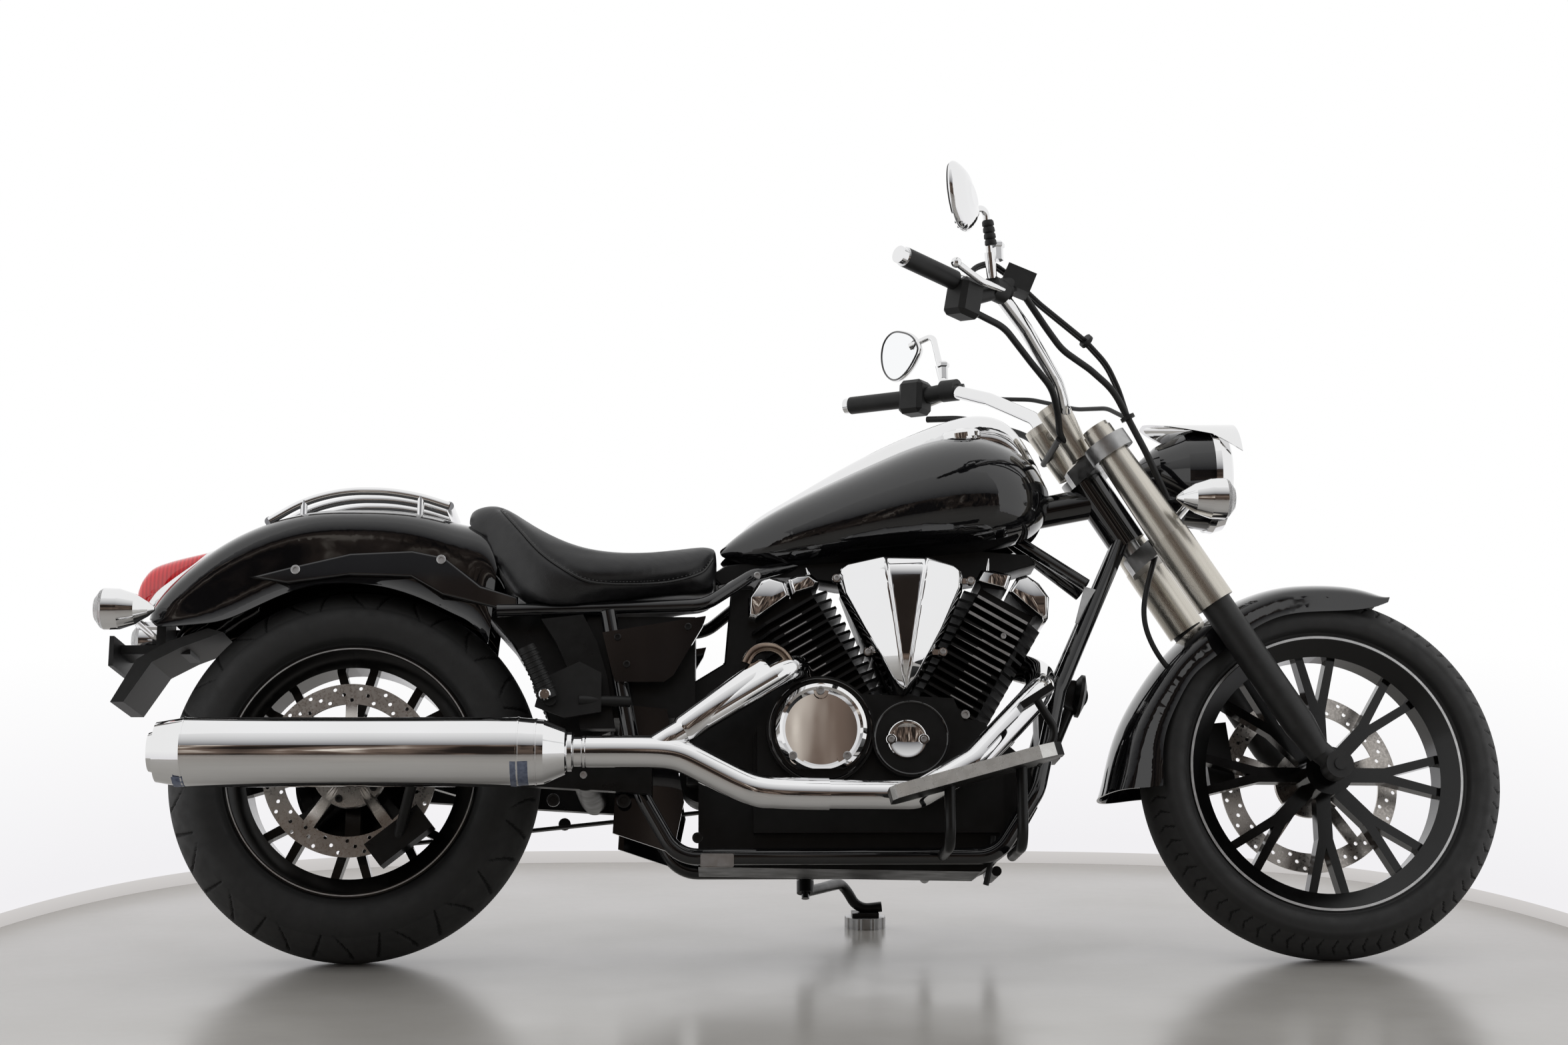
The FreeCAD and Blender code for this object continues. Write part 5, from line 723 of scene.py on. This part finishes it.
def refinish(node, body, mat, wanted):
    """Give another finish to a node's faces whose centre and normal, in machine axes, are wanted."""
    mesh = NODES[node].data
    mesh.materials.append(MATERIALS[mat])
    number = len(mesh.materials) - 1
    back = AXES[body].inverted()
    for face in mesh.polygons:
        if wanted((back @ face.center) / MM, back.to_3x3() @ face.normal):
            face.material_index = number


def end_faces(node, direction, length):
    """A test for the faces within a length of a fork node's far end in a direction."""
    way = Vector(direction).normalized()
    back = FORK.inverted()
    far = max((back @ vertex.co).dot(way) for vertex in NODES[node].data.vertices) / MM
    return lambda centre, normal: centre.dot(way) > far - length


def face_finishes_and_fin_highlights():
    """The grips' ends, the floorboards' sides, the mirrors' glass, the lenses, and painted highlights on the
    front fins.
    """
    mirror_turn = math.radians(24)
    for side, name in ((-1, "right"), (1, "left")):
        refinish("control_" + name, "fork", "chrome",
                 end_faces("control_" + name, (-0.54, side * 0.82, -0.16), 13))
        refinish("floorboard_" + name, "chassis", "polished_rim",
                 lambda c, n: abs(c.y) > 338 and abs(n.y) > 0.5 and abs(n.z) < 0.7)
        rear = Vector((-math.cos(mirror_turn), -side * math.sin(mirror_turn), 0))
        refinish("mirror_" + name, "fork", "looking_glass",
                 lambda c, n, rear=rear: n.dot(rear) > 0.97 and c.z > 1215 - 60 * (c.y > 0))
    refinish("rear_signals", "chassis", "clear_lens", lambda c, n: c.x < -413)
    refinish("front_signals", "fork", "clear_lens", lambda c, n: c.x > 1497)
    refinish("headlight", "fork", "clear_lens", lambda c, n: n.x > 0.93 and c.x > 1500)
    # Bright metal on the front cylinder's right-facing fin faces: painted highlights.
    refinish("front_cylinder", "chassis", "bright_edge",
             lambda c, n: n.y < -0.9 and c.y < -104 and c.z > 430 and abs(n.x) < 0.1 and c.x > 1085)


def chassis_surface():
    """A search tree of all the chassis nodes, in machine axes."""
    points, faces = [], []
    back = CHASSIS.inverted()
    for part in RECORD["subparts"]:
        if part["node"] in RECORD["behaviour"]["bodies"]["chassis"]:
            mesh = NODES[part["node"]].data
            start = len(points)
            points += [back @ vertex.co for vertex in mesh.vertices]
            faces += [tuple(start + corner for corner in face.vertices) for face in mesh.polygons]
    return BVHTree.FromPolygons(points, faces)


def touch(tree, x, z, default):
    """The outermost surface at a place seen from the right, as a y in millimetres."""
    hit = tree.ray_cast(mm(x, -600, z), Vector((0, 1, 0)))
    return hit[0].y / MM if hit[0] else default


# The bright shield between the cylinders, as shares of its height and width

COVER_X, COVER_WIDTH, COVER_FOOT, COVER_HEIGHT, COVER_BACK = 942, 218, 438, 241, -138
COVER_COLUMNS, COVER_ROWS = 110, 84
COVER_LEFT = [(0, -0.02), (0.04, -0.075), (0.1, -0.125), (0.45, -0.33), (0.72, -0.475), (0.82, -0.5),
              (1, -0.5)]
COVER_RIGHT = [(0, 0.02), (0.04, 0.08), (0.1, 0.14), (0.45, 0.345), (0.75, 0.49), (0.82, 0.5), (1, 0.5)]
COVER_TOP = [(-1, 0.86), (-0.94, 0.92), (-0.84, 0.955), (-0.28, 1.0), (0.4, 0.995), (0.82, 0.945),
             (0.95, 0.9), (1, 0.83)]
DITCH_LEFT = [(0, 0.03), (0.14, -0.02), (0.93, -0.137), (1, -0.15)]
DITCH_RIGHT = [(0, 0.03), (0.14, 0.055), (0.93, 0.2), (1, 0.21)]
RIDGE, DITCH_DEPTH, DITCH_EDGE = 74, 7, 6
COVER_ROUND, COVER_LIP, LIP_HEIGHT = 11, 2.5, 6
COVER_LUGS = [(832, 639, 1), (1062, 635, -1), (884, 511, 1), (1012, 511, -1)]


def between(table, value):
    """The value that a table of rising pairs gives, straight from one pair to the next."""
    for (low, start), (high, end) in zip(table, table[1:]):
        if value <= high:
            return start + (end - start) * (value - low) / (high - low)
    return table[-1][1]


def cover_point(s, share_up):
    """A point of the shield: two bowed wings with a sunken channel, rounded off at the edges."""
    top = between(COVER_TOP, s)
    up = top * share_up
    low, high = between(COVER_LEFT, up), between(COVER_RIGHT, up)
    across = low + (high - low) * (s + 1) / 2
    ridge = RIDGE - 34 * max(0, 1 - up / 0.3) ** 2 - 24 * max(0, (up - 0.84) / 0.16) ** 2
    inner, outer = between(DITCH_LEFT, up), between(DITCH_RIGHT, up)
    if across < inner:
        rise = ridge - 42 * ((inner - across) * COVER_WIDTH / 90) ** 1.05
    elif across > outer:
        rise = ridge - 40 * ((across - outer) * COVER_WIDTH / 80) ** 1.05
    else:
        step = min(min(across - inner, outer - across) * COVER_WIDTH / DITCH_EDGE, 1)
        rise = ridge - DITCH_DEPTH * step * step * (3 - 2 * step)
    edge = min((across - low) * COVER_WIDTH * 0.88, (high - across) * COVER_WIDTH * 0.88,
               (top - up) * COVER_HEIGHT)
    round_off = math.sqrt(max(0, 1 - (1 - min(edge / COVER_ROUND, 1)) ** 2))
    depth = max(rise * (0.12 + 0.88 * round_off), LIP_HEIGHT * max(0, 1 - edge / COVER_LIP))
    return mm(COVER_X + across * COVER_WIDTH, COVER_BACK - depth, COVER_FOOT + up * COVER_HEIGHT)


def air_cover():
    """The shield and the lugs that hold it."""
    build = bmesh.new()
    grid = [[build.verts.new(cover_point(-1 + 2 * column / COVER_COLUMNS, row / COVER_ROWS))
             for column in range(COVER_COLUMNS + 1)] for row in range(COVER_ROWS + 1)]
    for low_row, high_row in zip(grid, grid[1:]):
        bridge(build, low_row, high_row, closed=False)
    build.faces.new(grid[0] + [line[-1] for line in grid[1:]] + grid[-1][-2::-1]
                    + [line[0] for line in grid[-2:0:-1]])
    bmesh.ops.remove_doubles(build, verts=build.verts, dist=1e-5)
    piece = finished("air_cover", build, "chrome", "chassis", degrees=60)
    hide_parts("air_cleaner_cover")
    lugs = bmesh.new()
    for x, z, way in COVER_LUGS:
        lathe(lugs, spot(mm(x, -158, z), RIGHT), [(8, 0), (8, 8), (7, 9.5), (0, 9.5)], 20)
        box(lugs, Matrix.Translation(mm(x + way * 9, -160, z)), mm(18, 6, 9))
    finished("cover_lugs", lugs, "chrome", "chassis")


# Exhaust trim

MUFFLER_Y, MUFFLER_Z, MUFFLER_RADIUS = -242, 329, 58.0
TAPER_START, TAPER = 298, 0.1027


def capsule(build, start, end, radius):
    """A straight sleeve with rounded ends."""
    aim = end - start
    long = aim.length / MM
    soft = radius * 0.35
    profile = [(radius * 0.6, 0), (radius - soft * 0.4, soft * 0.25), (radius, soft)]
    profile += [(radius, long - soft), (radius - soft * 0.4, long - soft * 0.25), (radius * 0.6, long)]
    lathe(build, spot(start, aim), profile, 40)


def exhaust_trim():
    """Rings, the collar, the sleeves over the pipes and the hooked shield."""
    build = bmesh.new()
    for x, radius, wide in ((-247, 58.1, 3.5), (300, 58.2, 4), (329, 55.3, 4)):
        half = wide / 2
        hoop(build, spot(mm(x, MUFFLER_Y, MUFFLER_Z), AHEAD),
             [(radius - 2, -half), (radius, -half * 0.7), (radius, half * 0.7), (radius - 2, half)])
    lathe(build, spot(mm(374, MUFFLER_Y, MUFFLER_Z), AHEAD),
          [(28, 0), (33, 2), (33, 14), (30, 17), (26, 18)], 48)
    capsule(build, mm(712, -197, 476), mm(566, -238, 361), 24.5)
    lathe(build, spot(mm(411, MUFFLER_Y, MUFFLER_Z), (-1, 0, 0)), [(25.6, 0), (27, 1.5), (27, 5), (25.4, 7)],
          40)
    finished("exhaust_rings", build, "chrome", "chassis")
    wire("pipe_sleeve", mm_line((412, -242, 329), (500, -242, 329), (556, -242, 329), (590, -242, 312),
                                (640, -242, 286), (668, -242, 272), (700, -242, 260), (760, -236, 259),
                                (812, -230, 259)), 27.2, "chrome", "chassis")
    # The hooked shield's brown is a painted reflection.
    wire("hooked_shield", mm_line((676, -206, 484), (684, -206, 506), (712, -203, 518), (744, -198, 506),
                                  (758, -192, 470)), 8.5, "bronze_shield", "chassis")


def tapes():
    """Two patches of tape on the lower side of the muffler."""
    build = bmesh.new()
    for start, end, low, high in ((289, 318, -86, -24), (-262, -244, -86, -52)):
        rows = []
        for step in range(7):
            x = start + (end - start) * step / 6
            radius = MUFFLER_RADIUS - max(0, x - TAPER_START) * TAPER
            line = []
            for turn_step in range(9):
                angle = math.radians(low + (high - low) * turn_step / 8)
                out = radius + 0.5 * math.sin(turn_step * 1.9 + step)
                line.append(build.verts.new(mm(x, MUFFLER_Y - out * math.cos(angle),
                                               MUFFLER_Z + out * math.sin(angle))))
            rows.append(line)
        for one, other in zip(rows, rows[1:]):
            bridge(build, one, other, closed=False)
    finished("tape_patches", build, "tape", "chassis", 60)


def crank_plate():
    """The small bright plate on the crank cover, with an ear at each side, and the covers' rings."""
    build = bmesh.new()
    lathe(build, spot(mm(948, -175.5, 359), RIGHT),
          [(33, 0), (33, 3), (31.5, 4.2), (27, 4.2), (26, 3.6), (0, 3.6)], 64)
    for x in (921, 976):
        lathe(build, spot(mm(x, -175.5, 359), RIGHT), [(9, 0), (9, 4.4), (8, 5.2), (0, 5.2)], 24)
    finished("crank_plate", build, "chrome", "chassis")
    ring = bmesh.new()
    for x, y, z, radius in ((955, -176, 362, 63), (803, -168.3, 377, 88)):
        hoop(ring, spot(mm(x, y, z), RIGHT), [(radius - 3, -1), (radius - 3, 1.6), (radius - 1, 2.4),
                                              (radius, 1.6), (radius, -1)])
    finished("cover_rings", ring, "gloss_black", "chassis")


# Outlines of the bevelled blocks on the heads, rear cylinder first, in millimetres
HEAD_BLOCKS = [
    [(681, 584), (680, 618), (702, 650), (720, 656), (746, 648), (754, 622), (695, 580)],
    [(758, 624), (750, 651), (762, 658), (791, 661), (806, 647), (800, 636)],
    [(1076, 647), (1087, 668), (1109, 668), (1141, 659), (1131, 632)],
    [(1134, 630), (1149, 655), (1166, 660), (1188, 645), (1205, 620), (1202, 582), (1194, 578)],
]
HEAD_STUDS = [((791, 655), (782, 675)), ((1099, 665), (1102, 692))]
# Dark parts between the cylinders, under the tank, behind the rear cylinder and ahead of the tyre
FILLERS = [
    ("intake_box", [(846, 652), (1034, 652), (1004, 560), (958, 440), (926, 440), (880, 560)], 72),
    ("tank_tray", [(612, 668), (640, 688), (760, 704), (900, 712), (1082, 716), (1180, 708), (1192, 690),
                   (1130, 672), (1030, 656), (840, 654), (770, 668), (692, 665), (628, 652)], 44),
    ("gear_case", [(652, 648), (690, 648), (735, 540), (790, 440), (768, 300), (575, 300), (575, 470),
                   (640, 510)], 66),
    ("inner_guard", [(346, 380), (318, 470), (272, 545), (228, 594), (246, 612), (340, 614), (436, 610),
                     (452, 500), (445, 392), (400, 372)], 64),
]


def prism(build, outline, half, bevel):
    """A block with an outline in x and z, its two ends drawn in a little, in millimetres."""
    middle_x = sum(point[0] for point in outline) / len(outline)
    middle_z = sum(point[1] for point in outline) / len(outline)
    rings = []
    for y, inset in ((-half, bevel), (-half + bevel, 0), (half - bevel, 0), (half, bevel)):
        ring = []
        for x, z in outline:
            share = 1 - inset / math.hypot(x - middle_x, z - middle_z)
            point = mm(middle_x + (x - middle_x) * share, y, middle_z + (z - middle_z) * share)
            ring.append(build.verts.new(point))
        rings.append(ring)
    skin(build, rings)


def head_blocks():
    """The faceted bright covers on both heads, with their studs."""
    for end, outlines, stud in (("rear", HEAD_BLOCKS[:2], HEAD_STUDS[0]),
                                ("front", HEAD_BLOCKS[2:], HEAD_STUDS[1])):
        build = bmesh.new()
        for outline in outlines:
            prism(build, outline, 103, 7)
        foot, tip = (mm(x, -86, z) for x, z in stud)
        lathe(build, spot(foot, tip - foot), [(4, 0), (3.4, 12), (1, (tip - foot).length / MM)], 12)
        softened(build, 0.8, 1)
        piece = finished(end + "_head_blocks", build, "chrome", "chassis", degrees=25)
        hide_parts(end + "_head_cover")


def fillers():
    for name, outline, half in FILLERS:
        build = bmesh.new()
        prism(build, outline, half, 6)
        softened(build, 2)
        finished(name, build, "satin_black", "chassis")


# Small trim

PEG_RIBS = 9


def small_trim(tree):
    """The blank label and plate, the drain hose, the horn's face and the pegs' ribs and pivots."""
    build = bmesh.new()
    lean = Matrix.Rotation(math.radians(15.7), 4, "Y")
    place = mm(1275.5, touch(tree, 1276, 615, -40) - 0.4, 615)
    box(build, Matrix.Translation(place) @ lean, mm(21, 2.4, 68))
    softened(build, 0.5)
    finished("blank_label", build, "label", "chassis")
    build = bmesh.new()
    box(build, Matrix.Translation(mm(628, touch(tree, 628, 168, -140) - 1.5, 160)), mm(56, 4, 23))
    softened(build, 1.5)
    finished("lower_plate", build, "bright_edge", "chassis")
    wire("drain_hose", mm_line((1098, -96, 205), (1094, -100, 178), (1092, -100, 152), (1083, -100, 122)),
         5.2, "rubber", "chassis")
    build = bmesh.new()
    lathe(build, spot(mm(1253, touch(tree, 1253, 462, -105), 462), RIGHT),
          [(27, -4), (27, 2), (24, 4), (20, 3), (12, 4.5), (6, 4.5), (0, 5)], 40)
    finished("horn_face", build, "satin_black", "chassis")
    build = bmesh.new()
    for side in (-1, 1):
        base, tip = mm(345, side * 172, 430), mm(304.7, side * 187, 516.4)
        aim = tip - base
        for index in range(PEG_RIBS):
            lathe(build, spot(base + aim * (0.14 + 0.092 * index), aim),
                  [(15, 0), (16.6, 0.9), (16.6, 3.6), (15, 4.6)], 28)
    finished("peg_ribs", build, "rubber", "chassis")
    build = bmesh.new()
    for side in (-1, 1):
        lathe(build, spot(mm(338, side * 188, 434), (0, side, 0)),
              [(10, -6), (10, 4), (8, 6), (4, 6), (4, 4), (0, 4)], 28)
    finished("peg_pivots", build, "chrome", "chassis")


# Tail light, by rows of x, low z, high z and half width

TAIL_LENS_ROWS = [(-388, 637, 643, 18), (-386, 630, 652, 26), (-378, 624, 671, 35), (-362, 622, 689, 42),
                  (-335, 622, 700, 46), (-305, 640, 708, 46), (-278, 668, 714, 43), (-254, 700, 719, 36)]
TAIL_BASE_ROWS = [(-366, 610, 628, 36), (-352, 606, 650, 46), (-325, 610, 676, 50), (-295, 630, 698, 50),
                  (-262, 660, 719, 48), (-228, 690, 729, 42)]
RING_COUNT = 40
RING_POWER = 0.75


def squared(share):
    """A cosine or sine pulled out towards a rounded square."""
    return math.copysign(abs(share) ** RING_POWER, share)


def rounded_ring(build, x, low, high, half):
    """A rounded cross section at an x, in millimetres."""
    ring = []
    for index in range(RING_COUNT):
        angle = 2 * math.pi * index / RING_COUNT
        ring.append(build.verts.new(mm(x, squared(math.cos(angle)) * half,
                                       (low + high) / 2 + squared(math.sin(angle)) * (high - low) / 2)))
    return ring


def tail_light():
    """The red lens and its bright base, standing out from the fender."""
    for name, rows, mat, node in (("tail_lens", TAIL_LENS_ROWS, "red_lens", "tail_light_lens"),
                                  ("tail_base", TAIL_BASE_ROWS, "chrome", "tail_light_housing")):
        build = bmesh.new()
        filled = [[point.x for point in smooth_line([Vector((value, 0)) for value in channel], 5)]
                  for channel in zip(*rows)]
        skin(build, [rounded_ring(build, *values) for values in zip(*filled)])
        piece = finished(name, build, mat, "chassis", 50)
        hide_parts(node)


# Bar trim


def outline_of(build, glass):
    """The vertices round the edge of a set of faces, in order from the highest."""
    chain = {}
    for edge in build.edges:
        if sum(face in glass for face in edge.link_faces) == 1:
            for one, other in ((0, 1), (1, 0)):
                chain.setdefault(edge.verts[one], []).append(edge.verts[other])
    here = start = max(chain, key=lambda vertex: vertex.co.z)
    path, before = [start], None
    while True:
        onward = [vertex for vertex in chain[here] if vertex is not before and vertex not in path[1:]]
        if not onward or (onward[0] is start and len(path) > 2):
            return path
        before, here = here, onward[0]
        path.append(here)


def mirror_rims():
    """A dark edge round each mirror's glass."""
    for name in ("right", "left"):
        mesh = NODES["mirror_" + name].data
        build = bmesh.new()
        build.from_mesh(mesh)
        bmesh.ops.remove_doubles(build, verts=build.verts, dist=1e-5)
        path = outline_of(build, {f for f in build.faces if f.material_index == len(mesh.materials) - 1})
        curve, spline = tube("rim", "POLY", [vertex.co for vertex in path], 1.9, 3, "gloss_black")
        spline.use_cyclic_u = True
        build.free()
        rim = linked("mirror_rim_" + name, curve)
        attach(rim, "fork")


def bar_trim():
    """The right mirror's boot, the mirrors' posts and the brake hose down to the fender."""
    build = bmesh.new()
    boot_low, boot_high = mm(1077, -310, 1179), mm(1070, -320, 1223)
    aim = boot_high - boot_low
    for index in range(4):
        lathe(build, spot(boot_low + aim * index * 0.24, aim), [(8.5, 0), (10.5, 2), (10, 8), (8, 11)], 24)
    finished("mirror_boot", build, "rubber", "fork")
    build = bmesh.new()
    for point in mm_line((1080, 290, 1150), (1092, -290, 1170)):
        lathe(build, spot(point, (0, 0, 1)), [(9, -10), (9, 12), (12, 14), (12, 20), (8, 24), (0, 24)], 6)
    finished("mirror_posts", build, "chrome", "fork")
    wire("brake_hose", mm_line((1420, -40, 770), (1402, -56, 715), (1376, -60, 640), (1368, -62, 590),
                               (1378, -62, 545), (1402, -60, 505), (1430, -50, 480)), 4.8, "rubber", "fork")


face_finishes_and_fin_highlights()
tyres()
discs()
wheel_trim()
hub_trim()
seat()
fin_edges()
fasteners()
air_cover()
exhaust_trim()
tapes()
crank_plate()
head_blocks()
fillers()
small_trim(chassis_surface())
tail_light()
mirror_rims()
bar_trim()


# Camera, from the photograph's perspective: measured from where the rear tyre meets the ground

CAMERA_FROM_CONTACT = Vector((0.626, -4.5, 0))
CAMERA_HEIGHT = 0.757
YAW_DEGREES = -1.49
YAW = math.radians(-YAW_DEGREES)
LENS = 60.2
SENSOR_WIDTH = 36
CAMERA = CHASSIS.translation + CAMERA_FROM_CONTACT
CAMERA.z = CAMERA_HEIGHT


def camera():
    data = bpy.data.cameras.new("camera")
    data.sensor_width = SENSOR_WIDTH
    data.lens = LENS
    thing = linked("camera", data)
    thing.location = CAMERA
    thing.rotation_euler = (math.radians(90), 0, math.radians(YAW_DEGREES))
    scene.camera = thing


# Studio

ROOM_HALF_WIDTH = 1.55
ROOM_DEPTH = 2.76
ROOM_AHEAD = 3.085
WALL_HEIGHT = 5.0
SKIRTING_HEIGHT = 0.026
SKIRTING_INSET = 0.006
FLOOR_REACH = 9.0
HALL_Y, HALL_HALF, HALL_TOP = -7.2, 5.4, 4.0
HALL_STOPS = [(0.42, (0.018, 0.014, 0.012, 1)), (0.6, (0.17, 0.125, 0.1, 1)), (0.68, (0.75, 0.68, 0.6, 1))]
CEILING_ROWS = [(-7.2, 4.0), (-6.9, 4.5), (-6.3, 5.0), (-5.4, 5.6), (-4.2, 6.1), (-2.6, 6.6)]


def emitter(name):
    """A material of an output and an emission alone."""
    mat = bpy.data.materials.new(name)
    mat.use_nodes = True
    mat.node_tree.nodes.clear()
    return mat, add(mat, "ShaderNodeOutputMaterial"), add(mat, "ShaderNodeEmission")


def glow(name, low, high, bottom, top):
    """A pale surface that shows as written, graded by height and seen from its front alone."""
    mat, out, light = emitter(name)
    split = add(mat, "ShaderNodeSeparateXYZ", Vector=add(mat, "ShaderNodeTexCoord").outputs["Object"])
    grade = add(mat, "ShaderNodeMapRange", Value=split.outputs["Z"], From_Min=bottom, From_Max=top)
    shade = add(mat, "ShaderNodeMix", Factor=grade.outputs["Result"])
    shade.data_type = "RGBA"
    shade.inputs[6].default_value = (*low, 1)
    shade.inputs[7].default_value = (*high, 1)
    feed(mat, light.inputs["Color"], shade.outputs[2])
    either = add(mat, "ShaderNodeMixShader", Fac=add(mat, "ShaderNodeNewGeometry").outputs["Backfacing"])
    feed(mat, either.inputs[1], light.outputs["Emission"])
    feed(mat, either.inputs[2], add(mat, "ShaderNodeBsdfTransparent").outputs["BSDF"])
    feed(mat, out.inputs["Surface"], either.outputs["Shader"])
    return mat


def staged(name, verts, faces, mat):
    """A surface of the room, not a part of the machine."""
    mesh = bpy.data.meshes.new(name)
    mesh.from_pydata(verts, [], faces)
    mesh.materials.append(mat)
    for face in mesh.polygons:
        face.use_smooth = True
    thing = linked(name, mesh)
    return thing


def room_point(angle, grow):
    """A point of the room's rounded plan, which is straighter than an ellipse at its back."""
    across, along = math.cos(angle), math.sin(angle)
    x = math.copysign(abs(across) ** 0.5, across) * (ROOM_HALF_WIDTH + grow)
    y = math.copysign(abs(along) ** 0.5, along) * (ROOM_DEPTH + grow)
    middle = CAMERA + ROOM_AHEAD * Vector((math.sin(YAW), math.cos(YAW), 0))
    return (middle.x + x * math.cos(YAW) + y * math.sin(YAW),
            middle.y - x * math.sin(YAW) + y * math.cos(YAW))


def wall(name, height, mat, grow=0.0):
    """A strip of wall round the back of the room, up from the floor."""
    count = 96
    plan = [room_point(math.pi * index / count, grow) for index in range(count + 1)]
    verts = [(x, y, z) for z in (0, height) for x, y in plan]
    staged(name, verts, [(i, count + 1 + i, count + 2 + i, i + 1) for i in range(count)], mat)


def floor():
    mat = surface("floor", (0.42, 0.405, 0.38), 0.22,
                  ((1.6, 8, NOISE, 0.6), (0.40, 0.385, 0.36), (0.45, 0.435, 0.41)),
                  ((3.2, 6), 0.16, 0.27), ((14, 6), 0.03, 0.002))
    corners = ((-1, -1), (1, -1), (1, 1), (-1, 1))
    staged("floor", [(FLOOR_REACH * x, FLOOR_REACH * y, 0) for x, y in corners], [(0, 1, 2, 3)], mat)


def dark_room():
    """The dim hall behind the camera, which the chrome and the paint reflect, and its ceiling."""
    mat, out, light = emitter("dark_room")
    ramp = add(mat, "ShaderNodeValToRGB", Fac=texture(mat, 2.2, 4, NOISE, 0.55, (1, 1, 0.16)))
    stops = ramp.color_ramp.elements
    stops.new(HALL_STOPS[-1][0])
    for stop, (place, shade) in zip(stops, HALL_STOPS):
        stop.position = place
        stop.color = shade
    feed(mat, light.inputs["Color"], ramp.outputs["Color"])
    feed(mat, out.inputs["Surface"], light.outputs["Emission"])
    hall = staged("dark_room", [(-HALL_HALF, HALL_Y, 0), (HALL_HALF, HALL_Y, 0),
                                (HALL_HALF, HALL_Y, HALL_TOP), (-HALL_HALF, HALL_Y, HALL_TOP)],
                  [(0, 1, 2, 3)], mat)
    hall.visible_camera = False
    grey_glow = glow("grey_ceiling", (0.16, 0.16, 0.17), grey(0.9), CEILING_ROWS[0][1], CEILING_ROWS[-1][1])
    verts = [(x, y, z) for y, z in CEILING_ROWS for x in (-HALL_HALF, HALL_HALF)]
    faces = [(2 * i, 2 * i + 2, 2 * i + 3, 2 * i + 1) for i in range(len(CEILING_ROWS) - 1)]
    ceiling = staged("grey_ceiling", verts, faces, grey_glow)
    ceiling.visible_camera = False


camera()
floor()
# The wall and the skirting are painted a little darker towards the floor: painted shade.
wall("wall", WALL_HEIGHT, glow("wall", (0.88, 0.87, 0.89), (1, 1, 1), 0.05, 0.5))
wall("skirting", SKIRTING_HEIGHT, glow("skirting", (0.56, 0.54, 0.53), (0.72, 0.70, 0.69), 0, 0.06),
     -SKIRTING_INSET)
dark_room()
world = bpy.data.worlds.new("world")
scene.world = world
world.use_nodes = True
world.node_tree.nodes["Background"].inputs["Color"].default_value = (1, 1, 1, 1)
world.node_tree.nodes["Background"].inputs["Strength"].default_value = 1.0
scene.view_settings.view_transform = "Standard"
